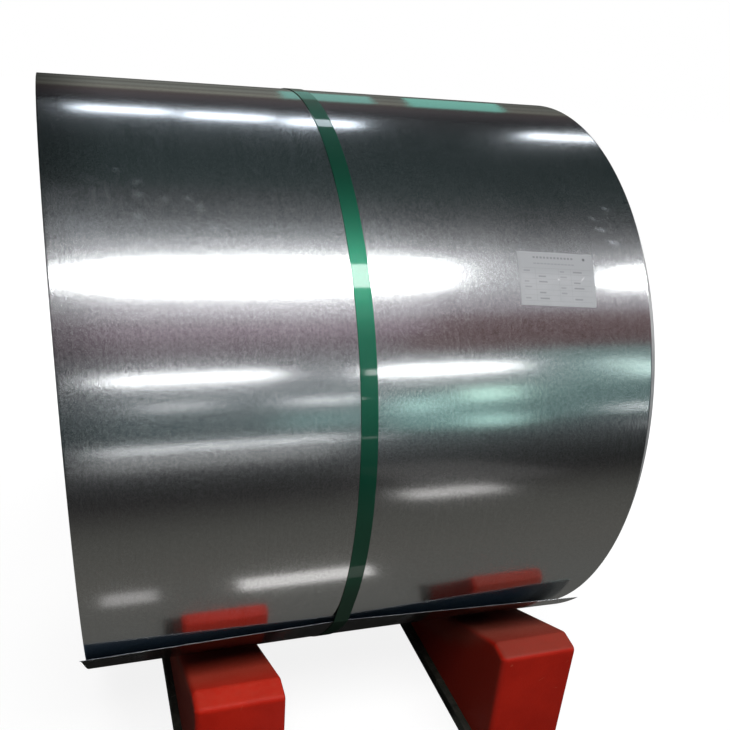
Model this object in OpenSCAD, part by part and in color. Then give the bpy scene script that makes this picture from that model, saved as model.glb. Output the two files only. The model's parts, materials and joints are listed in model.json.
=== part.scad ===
// Coil of galvanised sheet steel on two rails with four sloped saddle pads.
// Units are millimetres, +Z is up, the coil's axis runs along X and its front is -Y.
// Angles round the coil are counted up from the front horizontal.

/* [Coil] */
// Outer diameter of the coil
coil_d = 1266; // [900:1:1600]
// Width of the coil, which is the width of the sheet
coil_w = 1100; // [600:1:1600]
// Diameter of the bore that a mandrel enters
bore_d = 508; // [406:1:610]
// Thickness of the sheet
sheet_t = 1; // [0.5:0.1:3]
// Grooves between turns that show on each end
end_grooves = 11; // [4:1:20]
// Width of one end groove
groove_w = 3; // [1:0.5:6]
// Depth of one end groove
groove_depth = 2; // [0.5:0.5:5]

/* [Tail of the outer turn] */
// Angle at which the tail leaves the coil at its left end
tail_left_root = -52; // [-60:0.5:-44]
// Angle at which the tail leaves the coil at its right end
tail_right_root = -64; // [-75:0.5:-44]
// Power with which the tail curls up to its free edge at its left end
tail_left_curl = 5; // [2:0.5:6]
// Power with which the tail curls up to its free edge at its right end
tail_right_curl = 2; // [2:0.5:6]
// Angle of the free edge at the coil's left end
tail_left_angle = -31.7; // [-36:0.1:-20]
// Angle of the free edge at the coil's right end
tail_right_angle = -33.9; // [-36:0.1:-20]
// Gap under the free edge at its left corner
tail_left_gap = 16; // [8:0.5:40]
// Gap under the free edge where the strap pulls it in
tail_strap_gap = 5; // [2:0.1:15]
// Gap under the free edge at its right corner
tail_right_gap = 25; // [8:0.5:40]
// How far the left corner of the free edge stands out past the coil's end
tail_over = 10; // [0:1:30]
// How far the right corner of the free edge stays short of the coil's end
tail_short = 22; // [4:1:40]

/* [Strap] */
// Width of the strap
strap_w = 32; // [16:1:40]
// Thickness of the strap
strap_t = 1.2; // [0.6:0.1:2]
// Place of the strap along the axis, from the coil's middle
strap_x = -42; // [-120:1:120]

/* [Label] */
// Width of the label along the axis
label_w = 160; // [100:1:210]
// Height of the label round the coil
label_h = 105; // [70:1:148]
// Thickness of the label
label_t = 0.4; // [0.2:0.1:1]
// Distance of the label's middle from the coil's right end
label_from_end = 204; // [150:1:300]
// Angle of the label's middle
label_angle = 35.8; // [10:0.1:60]
// Turn of the label in its own plane
label_tilt = 3; // [-10:0.5:10]

/* [Saddle] */
// Width of one pad along the coil's axis
pad_w = 184; // [120:1:240]
// Slope of the pad face that the coil lies on
pad_slope = 23.2; // [18:0.1:30]
// How far the pad's front face stays inside the coil's outline
pad_inset = 16; // [0:1:60]
// Depth of the land on top of the pad
pad_land = 52; // [30:1:80]
// Drop of the land towards the front face
pad_land_drop = 9; // [2:1:20]
// Radius of the pad's front top edge
pad_round = 8; // [4:1:40]
// Distance of the pad's low end from the coil's centre plane
pad_inner = 100; // [40:1:160]
// Height of the coil's lowest point above the rails
coil_lift = 107; // [90:1:160]
// Distance of the left pads' middle from the coil's left end
left_pad_from_end = 284; // [150:1:350]
// Distance of the right pads' middle from the coil's right end
right_pad_from_end = 141; // [120:1:350]

/* [Rails] */
// How far a rail stands out past its pads on each side
rail_lip = 18; // [5:1:40]
// How far a rail runs on past its pads at each end
rail_end = 25; // [10:1:80]
// Thickness of a rail
rail_t = 30; // [15:1:60]

/* [Hidden] */
$fn = 96;

// Clearance between a curved face and the piece that lies on it
seat = 0.3;
// Depth by which the root of the tail is sunk into the coil
tail_sunk = 3;
// Height of the step where the tail starts
tail_step = 0.4;
// Share of the tail, from its root, that still lies on the coil, up to the strap
tail_closed = 0.6;
// The same share at the tail's right corner, where it curls more gently
tail_closed_right = 0.3;
// Steps round the tail, a multiple of ten
tail_steps = 20;
// Steps round the rest of the strap
strap_steps = 200;
// Degrees before the tail's root at which the strap starts to rise onto it
strap_lead = 1;
// Points on one rounded pad edge
round_steps = 8;

coil_r = coil_d / 2;
bore_r = bore_d / 2;
// The tail's left corner stands out, so the coil is set off to keep the whole centred on x = 0
coil_x = tail_over / 2;
axis_z = rail_t + coil_lift + coil_r;
strap_l = strap_x - strap_w / 2;
strap_r = strap_x + strap_w / 2;
label_x = coil_w / 2 - label_from_end;
left_pad_x = left_pad_from_end - coil_w / 2;
right_pad_x = coil_w / 2 - right_pad_from_end;

// Half section of the coil: radius against place along the axis, with grooves in both ends
function groove_r(i) = bore_r + (coil_r - bore_r) * (i + 0.5) / end_grooves;
function end_face(side) = [
    for (i = [0 : end_grooves - 1])
        each [
            [groove_r(i) - groove_w / 2, side * coil_w / 2],
            [groove_r(i) - groove_w / 2, side * (coil_w / 2 - groove_depth)],
            [groove_r(i) + groove_w / 2, side * (coil_w / 2 - groove_depth)],
            [groove_r(i) + groove_w / 2, side * coil_w / 2]
        ]
];
function reversed(list) = [for (i = [len(list) - 1 : -1 : 0]) list[i]];
coil_section = concat(
    [[bore_r, -coil_w / 2]],
    end_face(-1),
    [[coil_r, -coil_w / 2], [coil_r, coil_w / 2]],
    reversed(end_face(1)),
    [[bore_r, coil_w / 2]]
);

// Blend from a to b
function mix(a, b, s) = a + (b - a) * s;
// Point on a circle round the coil's axis, at x from the coil's middle
function around(x, r, angle) = [x, -r * cos(angle), r * sin(angle)];

// Tail: s runs from 0 at the root to 1 at the free edge
function along(left, right, x) = mix(left, right, x / coil_w + 0.5);
function root_angle(x) = along(tail_left_root, tail_right_root, x);
function edge_angle(x) = along(tail_left_angle, tail_right_angle, x);
function tail_angle(x, s) = mix(root_angle(x), edge_angle(x), s);
function tail_curl(x) = along(tail_left_curl, tail_right_curl, x);
function tail_outer(x, gap, s) = coil_r + tail_step + (gap + sheet_t - tail_step) * pow(s, tail_curl(x));
// The four stations across the tail: left corner, the strap's two sides, right corner
function station_x(k, s) =
    k == 0 ? -coil_w / 2 + 2 - (tail_over + 2) * s :
    k == 1 ? strap_l :
    k == 2 ? strap_r :
    coil_w / 2 - 2 - (tail_short - 2) * s;
function station_gap(k) = [tail_left_gap, tail_strap_gap, tail_strap_gap, tail_right_gap][k];
function closed_step(k) = round(tail_steps * (k == 3 ? tail_closed_right : tail_closed));
function tail_point(k, s, r) = around(station_x(k, s), r, tail_angle(station_x(k, s), s));
function tail_face(k, s) = tail_outer(station_x(k, s), station_gap(k), s);
// One loop round the sheet's section: out along its face, back along its underside, then inside the coil
function tail_loop(k) = concat(
    [for (i = [0 : tail_steps])
        tail_point(k, i / tail_steps, tail_face(k, i / tail_steps))],
    [for (i = [tail_steps : -1 : closed_step(k)])
        tail_point(k, i / tail_steps, tail_face(k, i / tail_steps) - sheet_t)],
    [for (i = [closed_step(k) : -1 : 0])
        tail_point(k, i / tail_steps, coil_r - tail_sunk)]
);
loop_n = 2 * tail_steps + 3;
// Places in a loop of the underside's and the sunk face's point at step i
function under(i) = 2 * tail_steps + 1 - i;
function sunk(i) = 2 * tail_steps + 2 - i;
function cap_quad(a, b, c, d) = [[a, b, c], [a, c, d]];
// Faces that close a station's loop. Its last closed step has a fifth corner, where the underside begins
function tail_cap(k) = let (c = closed_step(k)) concat(
    [for (i = [0 : c - 2]) each cap_quad(i, i + 1, sunk(i + 1), sunk(i))],
    [[c - 1, c, under(c)]],
    cap_quad(c - 1, under(c), sunk(c), sunk(c - 1)),
    [for (i = [c : tail_steps - 1]) each cap_quad(i, i + 1, under(i + 1), under(i))]
);
tail_skin = [
    for (k = [0 : 2], j = [0 : loop_n - 1])
        let (n = (j + 1) % loop_n, a = k * loop_n, b = a + loop_n)
            each [[a + j, a + n, b + n], [a + j, b + n, b + j]]
];

// Strap: round the coil, over the tail and straight down from the tail's edge to the coil
strap_edge_angle = edge_angle(strap_x);
strap_edge_r = tail_outer(strap_x, tail_strap_gap, 1) + seat;
strap_touch_angle = strap_edge_angle + acos((coil_r + seat) / strap_edge_r);
function strap_path(lift) = concat(
    [for (i = [0 : strap_steps])
        let (angle = mix(strap_touch_angle, root_angle(strap_x) + 360 - strap_lead, i / strap_steps))
            [-(coil_r + seat + lift) * cos(angle), (coil_r + seat + lift) * sin(angle)]],
    [for (i = [0 : tail_steps])
        let (
            angle = tail_angle(strap_x, i / tail_steps),
            r = tail_outer(strap_x, tail_strap_gap, i / tail_steps) + seat + lift
        )
            [-r * cos(angle), r * sin(angle)]]
);

// Pad outline, with the coil's axis as its origin: the slope stays a seat's clearance off the coil
pad_reach = coil_r - pad_inset;
pad_floor = -coil_r - coil_lift;
function slope_z(y) = -(coil_r + seat - y * sin(pad_slope)) / cos(pad_slope);
pad_crest = [-(pad_reach - pad_land), slope_z(pad_reach - pad_land)];
pad_brow = [-pad_reach, pad_crest[1] - pad_land_drop];
function toward(from, to, d) = from + (to - from) * d / norm(to - from);
// Rounded corner at b between a and c
function rounded(a, b, c, d) = [
    for (i = [0 : round_steps])
        let (t = i / round_steps, p = toward(b, a, d), q = toward(b, c, d))
            p * (1 - t) * (1 - t) + b * 2 * t * (1 - t) + q * t * t
];
pad_foot = [-pad_reach, pad_floor];
pad_toe = [-pad_inner, slope_z(pad_inner)];
pad_outline = concat(
    [pad_foot],
    rounded(pad_foot, pad_brow, pad_crest, pad_round),
    rounded(pad_brow, pad_crest, pad_toe, pad_round / 2),
    [pad_toe, [-pad_inner, pad_floor]]
);

// Carries a piece from the coil's own axis to its place in the whole
module on_axis() {
    translate([coil_x, 0, axis_z])
        children();
}

// A plain drum on the coil's axis
module drum(r, w) {
    rotate([0, 90, 0])
        cylinder(r = r, h = w, center = true);
}

module coil() {
    color("silver")
    on_axis()
    union() {
        rotate([0, 90, 0])
            rotate_extrude()
                polygon(coil_section);
        polyhedron(
            points = [for (k = [0 : 3]) each tail_loop(k)],
            faces = concat(
                tail_skin,
                [for (f = tail_cap(0)) reversed(f)],
                [for (f = tail_cap(3)) [for (v = f) v + 3 * loop_n]]
            )
        );
    }
}

module strap() {
    color("seagreen")
    on_axis()
    translate([strap_l, 0, 0])
    rotate([90, 0, 90])
    linear_extrude(strap_w)
    difference() {
        polygon(strap_path(strap_t));
        polygon(strap_path(0));
    }
}

module label() {
    color("white")
    on_axis()
    intersection() {
        difference() {
            drum(coil_r + seat + label_t, coil_w);
            drum(coil_r + seat, coil_w + 2);
        }
        translate([label_x, 0, 0])
            rotate([-label_angle, 0, 0])
                translate([0, -coil_r, 0])
                    rotate([0, label_tilt, 0])
                        cube([label_w, 80, label_h], center = true);
    }
}

module pad(x) {
    color("firebrick")
    on_axis()
    translate([x - pad_w / 2, 0, 0])
    rotate([90, 0, 90])
    linear_extrude(pad_w)
    polygon(pad_outline);
}

module rail(x) {
    color("dimgray")
    translate([coil_x + x - pad_w / 2 - rail_lip, -pad_reach - rail_end, 0])
    cube([pad_w + 2 * rail_lip, 2 * (pad_reach + rail_end), rail_t]);
}

module left_front_pad() {
    pad(left_pad_x);
}

module left_back_pad() {
    mirror([0, 1, 0])
        pad(left_pad_x);
}

module right_front_pad() {
    pad(right_pad_x);
}

module right_back_pad() {
    mirror([0, 1, 0])
        pad(right_pad_x);
}

module left_rail() {
    rail(left_pad_x);
}

module right_rail() {
    rail(right_pad_x);
}

coil();
strap();
label();
left_front_pad();
left_back_pad();
right_front_pad();
right_back_pad();
left_rail();
right_rail();
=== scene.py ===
"""Looks of a strapped coil of galvanised sheet steel on saddle pads, with its studio and camera.

Everything is in metres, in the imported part's frame. The coil's axis runs along X, its front faces -Y, and
angles round the coil are degrees counted up from the front horizontal.
"""
import json
import logging
import math
import random
from dataclasses import dataclass, field
from enum import Enum
from typing import Callable, Optional, Sequence, Union

import bmesh
import bpy
from mathutils import Matrix, Vector


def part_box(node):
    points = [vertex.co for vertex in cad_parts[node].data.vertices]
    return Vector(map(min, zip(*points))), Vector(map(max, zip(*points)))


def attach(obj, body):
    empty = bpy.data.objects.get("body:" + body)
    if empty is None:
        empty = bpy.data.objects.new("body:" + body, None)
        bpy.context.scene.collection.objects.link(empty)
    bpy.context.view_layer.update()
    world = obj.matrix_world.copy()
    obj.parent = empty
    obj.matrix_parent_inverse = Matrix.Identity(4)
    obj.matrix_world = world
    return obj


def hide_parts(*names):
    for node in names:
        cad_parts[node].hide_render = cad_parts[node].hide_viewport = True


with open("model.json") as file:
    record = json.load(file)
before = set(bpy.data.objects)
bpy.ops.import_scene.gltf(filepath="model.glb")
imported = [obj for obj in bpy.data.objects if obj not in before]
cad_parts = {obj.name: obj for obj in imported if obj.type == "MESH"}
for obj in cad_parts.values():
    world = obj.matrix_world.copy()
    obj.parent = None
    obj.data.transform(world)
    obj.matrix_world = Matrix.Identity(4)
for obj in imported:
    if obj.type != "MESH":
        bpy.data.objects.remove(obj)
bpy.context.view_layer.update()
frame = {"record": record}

log = logging.getLogger("coil")

BODY = "root"
UV_NAME = "sheet"
TONE_NAME = "turn_tone"
SHARP_ANGLE = math.radians(32)
NOISE_LOW = 0.3
NOISE_HIGH = 0.7

Triple = tuple[float, float, float]
Colour = Triple
Socket = bpy.types.NodeSocket
Feed = Union[float, tuple, Socket]


class Slot(Enum):
    """The record's material slots."""

    STEEL = "steel"
    STRAP = "strap_plastic"
    LABEL = "label_paper"
    PAD = "pad_red"
    RAIL = "rail_paint"


class Side(Enum):
    """The coil's two ends, as the sign of their place along X."""

    LEFT = -1
    RIGHT = 1


def mix(start: float, end: float, share: float) -> float:
    """Blend from start to end."""
    return start + (end - start) * share


def clamp(share: float) -> float:
    """Keep a share between 0 and 1."""
    return min(1.0, max(0.0, share))


def smooth(share: float) -> float:
    """Ease from 0 to 1, flat outside."""
    share = clamp(share)
    return share * share * (3 - 2 * share)


def rgba(colour: Colour) -> tuple[float, float, float, float]:
    """Add full alpha to a colour."""
    return (*colour, 1.0)


class MeshDraft:
    """Points, faces and point values that are gathered before they become one object."""

    def __init__(self) -> None:
        """Start empty."""
        self.points: list[Vector] = []
        self.places: list[tuple[float, float]] = []
        self.tones: list[float] = []
        self.faces: list[tuple[int, ...]] = []

    def point(self, where: Vector, place: tuple[float, float] = (0.0, 0.0), tone: float = 0.5) -> int:
        """Add one point.

        Args:
            where: the point in the part's frame.
            place: its place on the flat sheet, in metres.
            tone: its share between the darkest and the lightest tone.

        Returns:
            The point's number.
        """
        self.points.append(where)
        self.places.append(place)
        self.tones.append(tone)
        return len(self.points) - 1

    def skin(self, rows: Sequence[Sequence[int]], closed: bool = False) -> None:
        """Cover neighbouring rows of points with quads.

        Args:
            rows: rows of point numbers, all of one length.
            closed: whether each row's last point joins its first.
        """
        for lower, upper in zip(rows, rows[1:]):
            count = len(lower)
            for i in range(count if closed else count - 1):
                j = (i + 1) % count
                self.faces.append((lower[i], lower[j], upper[j], upper[i]))

    def finish(self, name: str) -> bpy.types.Object:
        """Make the object, with its flat-sheet places as UVs and its tones as an attribute.

        Args:
            name: the piece's name.

        Returns:
            The new object, smooth except at sharp edges.
        """
        mesh = bpy.data.meshes.new(name)
        mesh.from_pydata([tuple(p) for p in self.points], [], self.faces)
        layer = mesh.uv_layers.new(name=UV_NAME)
        for loop in mesh.loops:
            layer.data[loop.index].uv = self.places[loop.vertex_index]
        tone = mesh.attributes.new(TONE_NAME, "FLOAT", "POINT")
        tone.data.foreach_set("value", self.tones)
        return place_mesh(mesh, name)


def place_mesh(mesh: bpy.types.Mesh, name: str) -> bpy.types.Object:
    """Shade a mesh smooth except at sharp edges and put it in the scene.

    Args:
        mesh: the mesh, already in the part's frame.
        name: the object's name.

    Returns:
        The new object.
    """
    mesh.polygons.foreach_set("use_smooth", [True] * len(mesh.polygons))
    mesh.set_sharp_from_angle(angle=SHARP_ANGLE)
    mesh.update()
    piece = bpy.data.objects.new(name, mesh)
    bpy.context.collection.objects.link(piece)
    return piece


def prism(ends: Sequence[Sequence[Sequence[float]]]) -> bmesh.types.BMesh:
    """Join two like outlines with straight sides.

    Args:
        ends: the corners of both end faces, in the same order.

    Returns:
        The closed shell, its normals outward.
    """
    shell = bmesh.new()
    first, last = ([shell.verts.new(corner) for corner in end] for end in ends)
    shell.faces.new(first)
    shell.faces.new(last[::-1])
    count = len(first)
    for i in range(count):
        j = (i + 1) % count
        shell.faces.new((first[j], first[i], last[i], last[j]))
    bmesh.ops.recalc_face_normals(shell, faces=shell.faces)
    return shell


def round_edges(
    shell: bmesh.types.BMesh,
    edges: Sequence[bmesh.types.BMEdge],
    reach: float,
    steps: int,
) -> None:
    """Round some edges of a shell."""
    bmesh.ops.bevel(shell, geom=edges, offset=reach, segments=steps, profile=0.5, affect="EDGES")


def settle(shell: bmesh.types.BMesh, name: str) -> bpy.types.Object:
    """Turn a finished shell into an object.

    Args:
        shell: the shell, which is used up.
        name: the object's name.

    Returns:
        The new object.
    """
    mesh = bpy.data.meshes.new(name)
    shell.to_mesh(mesh)
    shell.free()
    return place_mesh(mesh, name)


def hand_in(piece: bpy.types.Object, material: bpy.types.Material, node: str) -> None:
    """Dress a piece, set it on the body and let it stand for its CAD node.

    Args:
        piece: the new piece.
        material: its finish.
        node: the CAD node that it replaces.
    """
    piece.data.materials.append(material)
    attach(piece, BODY)
    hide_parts(node)
    log.info("%s: %d faces", piece.name, len(piece.data.polygons))


class Sketch:
    """Short calls that add and link the nodes of one shader tree."""

    def __init__(self, tree: bpy.types.NodeTree) -> None:
        """Keep the tree."""
        self.tree = tree

    def feed(self, socket: Socket, value: Feed) -> None:
        """Link a socket to another one, or set its value.

        Args:
            socket: the input.
            value: what it takes.
        """
        if isinstance(value, Socket):
            self.tree.links.new(value, socket)
        else:
            socket.default_value = value

    def add(self, kind: str, inputs: dict[Union[str, int], Feed], **options: object) -> bpy.types.Node:
        """Add a node.

        Args:
            kind: the node's type name.
            inputs: what its sockets take, by name or number.
            options: settings of the node itself.

        Returns:
            The new node.
        """
        node = self.tree.nodes.new(kind)
        for name, value in options.items():
            setattr(node, name, value)
        for key, value in inputs.items():
            self.feed(node.inputs[key], value)
        return node

    def math(self, operation: str, a: Feed, b: Feed = 0.0, c: Feed = 0.0) -> Socket:
        """Work out one number."""
        return self.add("ShaderNodeMath", {0: a, 1: b, 2: c}, operation=operation).outputs[0]

    def stretch(self, vector: Feed, factors: Triple) -> Socket:
        """Scale a vector along each axis."""
        return self.add("ShaderNodeVectorMath", {0: vector, 1: factors}, operation="MULTIPLY").outputs[0]

    def length(self, vector: Feed) -> Socket:
        """Length of a vector."""
        return self.add("ShaderNodeVectorMath", {0: vector}, operation="LENGTH").outputs["Value"]

    def parts(self, vector: Feed) -> Sequence[Socket]:
        """X, Y and Z of a vector."""
        return self.add("ShaderNodeSeparateXYZ", {0: vector}).outputs

    def weigh(self, start: Feed, *terms: tuple[Socket, float]) -> Feed:
        """Add weighted values to a first one.

        Args:
            start: the first value.
            terms: pairs of a value and its weight.

        Returns:
            The sum.
        """
        for value, weight in terms:
            start = self.math("MULTIPLY_ADD", value, weight, start)
        return start

    def remap(self, value: Feed, low: float, high: float, to_low: Feed = 0.0, to_high: Feed = 1.0) -> Socket:
        """Map a range onto another one, smoothly and without overshoot.

        Args:
            value: what is mapped.
            low: start of its range.
            high: end of its range.
            to_low: result at the start.
            to_high: result at the end.

        Returns:
            The socket with the result.
        """
        inputs = {"Value": value, "From Min": low, "From Max": high, "To Min": to_low, "To Max": to_high}
        node = self.add("ShaderNodeMapRange", inputs, interpolation_type="SMOOTHSTEP")
        return node.outputs[0]

    def noise(self, vector: Feed, scale: Feed, detail: float = 2.0, rough: float = 0.5) -> Socket:
        """Soft noise between 0 and 1."""
        inputs = {"Vector": vector, "Scale": scale, "Detail": detail, "Roughness": rough}
        return self.add("ShaderNodeTexNoise", inputs).outputs[0]

    def spread(self, noise: Feed) -> Socket:
        """Noise, stretched to the whole of 0 to 1."""
        return self.remap(noise, NOISE_LOW, NOISE_HIGH)

    def blend(self, share: Feed, first: Feed, second: Feed) -> Socket:
        """Blend two colours."""
        return self.add("ShaderNodeMix", {0: share, 6: first, 7: second}, data_type="RGBA").outputs[2]

    def bump(self, height: Feed, strength: float, distance: float) -> Socket:
        """Normal of a surface with that relief."""
        inputs = {"Height": height, "Strength": strength, "Distance": distance}
        return self.add("ShaderNodeBump", inputs).outputs[0]

    def place(self) -> Socket:
        """Place on the flat sheet, in metres."""
        return self.add("ShaderNodeUVMap", {}, uv_map=UV_NAME).outputs[0]

    def position(self) -> Socket:
        """Place in the part's frame, in metres."""
        return self.add("ShaderNodeTexCoord", {}).outputs["Object"]

    def geometry(self, output: str) -> Socket:
        """Position or normal of the surface, in the scene."""
        return self.add("ShaderNodeNewGeometry", {}).outputs[output]

    def tone(self) -> Socket:
        """Tone that the mesh itself carries."""
        return self.add("ShaderNodeAttribute", {}, attribute_name=TONE_NAME).outputs["Fac"]

    def seen(self) -> Socket:
        """Whether the camera, a mirror or a clear surface looks.

        Returns:
            1 for those rays, else 0.
        """
        path = self.add("ShaderNodeLightPath", {}).outputs
        direct = self.math("MAXIMUM", path["Is Camera Ray"], path["Is Glossy Ray"])
        return self.math("MAXIMUM", direct, path["Is Transmission Ray"])

    def group(self, effect: "Effect", inputs: dict[str, Feed]) -> bpy.types.Node:
        """Place a shared effect.

        Args:
            effect: the effect.
            inputs: what its sockets take.

        Returns:
            The group's node.
        """
        node = self.tree.nodes.new("ShaderNodeGroup")
        node.node_tree = effect.tree
        for key, value in inputs.items():
            self.feed(node.inputs[key], value)
        return node

    def mask(self, effect: "Effect", inputs: dict[str, Feed]) -> Socket:
        """Place a shared effect and take its mask."""
        return self.group(effect, inputs).outputs["Mask"]


class Effect:
    """A shader node group that several finishes share."""

    def __init__(self, name: str, inputs: dict[str, Union[float, str]], outputs: Sequence[str]) -> None:
        """Make the group's sockets.

        Args:
            name: the group's name.
            inputs: each input's name, with its value or the word vector.
            outputs: the names of the values that come out.
        """
        self.tree = bpy.data.node_groups.new(name, "ShaderNodeTree")
        for label, value in inputs.items():
            kind = "NodeSocketVector" if value == "vector" else "NodeSocketFloat"
            socket = self.tree.interface.new_socket(label, in_out="INPUT", socket_type=kind)
            if kind == "NodeSocketFloat":
                socket.default_value = value
        for label in outputs:
            self.tree.interface.new_socket(label, in_out="OUTPUT", socket_type="NodeSocketFloat")
        self.sketch = Sketch(self.tree)
        self.inside = self.tree.nodes.new("NodeGroupInput").outputs
        self.result = self.tree.nodes.new("NodeGroupOutput").inputs

    def give(self, label: str, value: Socket) -> None:
        """Send a value out of the group."""
        self.sketch.feed(self.result[label], value)


class Effects:
    """The effects that more than one finish uses, each built once."""

    def __init__(self) -> None:
        """Build them all."""
        self.grain = self.build_grain()
        self.scuffs = self.build_scuffs()
        self.dust = self.build_dust()
        self.spot = self.build_spot()

    @staticmethod
    def build_grain() -> Effect:
        """Make fine grain and soft blotches.

        Returns:
            The effect, with a tone and a blotch.
        """
        effect = Effect("grain", {"Vector": "vector", "Fine": 400.0, "Broad": 9.0}, ("Tone", "Blotch"))
        sketch = effect.sketch
        fine = sketch.noise(effect.inside["Vector"], effect.inside["Fine"], 3.0, 0.6)
        broad = sketch.noise(effect.inside["Vector"], effect.inside["Broad"], 4.0, 0.55)
        effect.give("Tone", sketch.spread(fine))
        effect.give("Blotch", sketch.spread(broad))
        return effect

    @staticmethod
    def build_scuffs() -> Effect:
        """Make thin broken scratches.

        Returns:
            The effect, with a mask.
        """
        effect = Effect("scuffs", {"Vector": "vector", "Scale": 12.0, "Amount": 0.3}, ("Mask",))
        sketch = effect.sketch
        bent = sketch.noise(effect.inside["Vector"], effect.inside["Scale"], 1.0, 0.4)
        line = sketch.math("ABSOLUTE", sketch.math("SUBTRACT", bent, 0.5))
        thin = sketch.remap(line, 0.0, 0.006, 1.0, 0.0)
        patch_scale = sketch.math("MULTIPLY", effect.inside["Scale"], 2.7)
        patch = sketch.noise(effect.inside["Vector"], patch_scale, 3.0, 0.6)
        limit = sketch.math("SUBTRACT", 1.0, effect.inside["Amount"])
        broken = sketch.math("GREATER_THAN", patch, limit)
        effect.give("Mask", sketch.math("MULTIPLY", thin, broken))
        return effect

    @staticmethod
    def build_dust() -> Effect:
        """Make dust that settles on faces that look up.

        Returns:
            The effect, with a mask.
        """
        effect = Effect("dust", {"Vector": "vector", "Scale": 60.0, "Amount": 0.4}, ("Mask",))
        sketch = effect.sketch
        up = sketch.parts(sketch.geometry("Normal"))[2]
        cloud = sketch.noise(effect.inside["Vector"], effect.inside["Scale"], 5.0, 0.65)
        settled = sketch.math("MULTIPLY", sketch.remap(up, 0.2, 0.95), sketch.remap(cloud, 0.35, 0.75))
        effect.give("Mask", sketch.math("MULTIPLY", settled, effect.inside["Amount"]))
        return effect

    @staticmethod
    def build_spot() -> Effect:
        """Make a soft oval spot at a place on the flat sheet.

        Returns:
            The effect, with a mask.
        """
        inputs = {"Vector": "vector", "Across": 0.0, "Round": 0.0, "Width": 0.01, "Height": 0.01, "Turn": 0.0}
        effect = Effect("soft_spot", inputs, ("Mask",))
        sketch = effect.sketch
        inside = effect.inside
        middle = sketch.add("ShaderNodeCombineXYZ", {0: inside["Across"], 1: inside["Round"]}).outputs[0]
        turned = {"Vector": inside["Vector"], "Center": middle, "Angle": inside["Turn"]}
        place = sketch.add("ShaderNodeVectorRotate", turned, rotation_type="Z_AXIS").outputs[0]
        parts = sketch.parts(place)
        across = sketch.math("DIVIDE", sketch.math("SUBTRACT", parts[0], inside["Across"]), inside["Width"])
        upward = sketch.math("DIVIDE", sketch.math("SUBTRACT", parts[1], inside["Round"]), inside["Height"])
        square = sketch.math("MULTIPLY_ADD", across, across, sketch.math("MULTIPLY", upward, upward))
        effect.give("Mask", sketch.remap(sketch.math("SQRT", square), 0.0, 1.0, 1.0, 0.0))
        return effect


def new_material(name: str) -> tuple[bpy.types.Material, Sketch, bpy.types.Node]:
    """Start a material.

    Args:
        name: its name.

    Returns:
        The material, its node sketch and its Principled shader.
    """
    material = bpy.data.materials.new(name)
    material.use_nodes = True
    return material, Sketch(material.node_tree), material.node_tree.nodes["Principled BSDF"]


@dataclass(frozen=True)
class Smudge:
    """A hazy touch mark: place from the coil's middle, angle, half sizes, strength, and turn on the sheet."""

    x: float
    angle: float
    half_width: float
    half_height: float
    strength: float
    turn: float = 0.0


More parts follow.
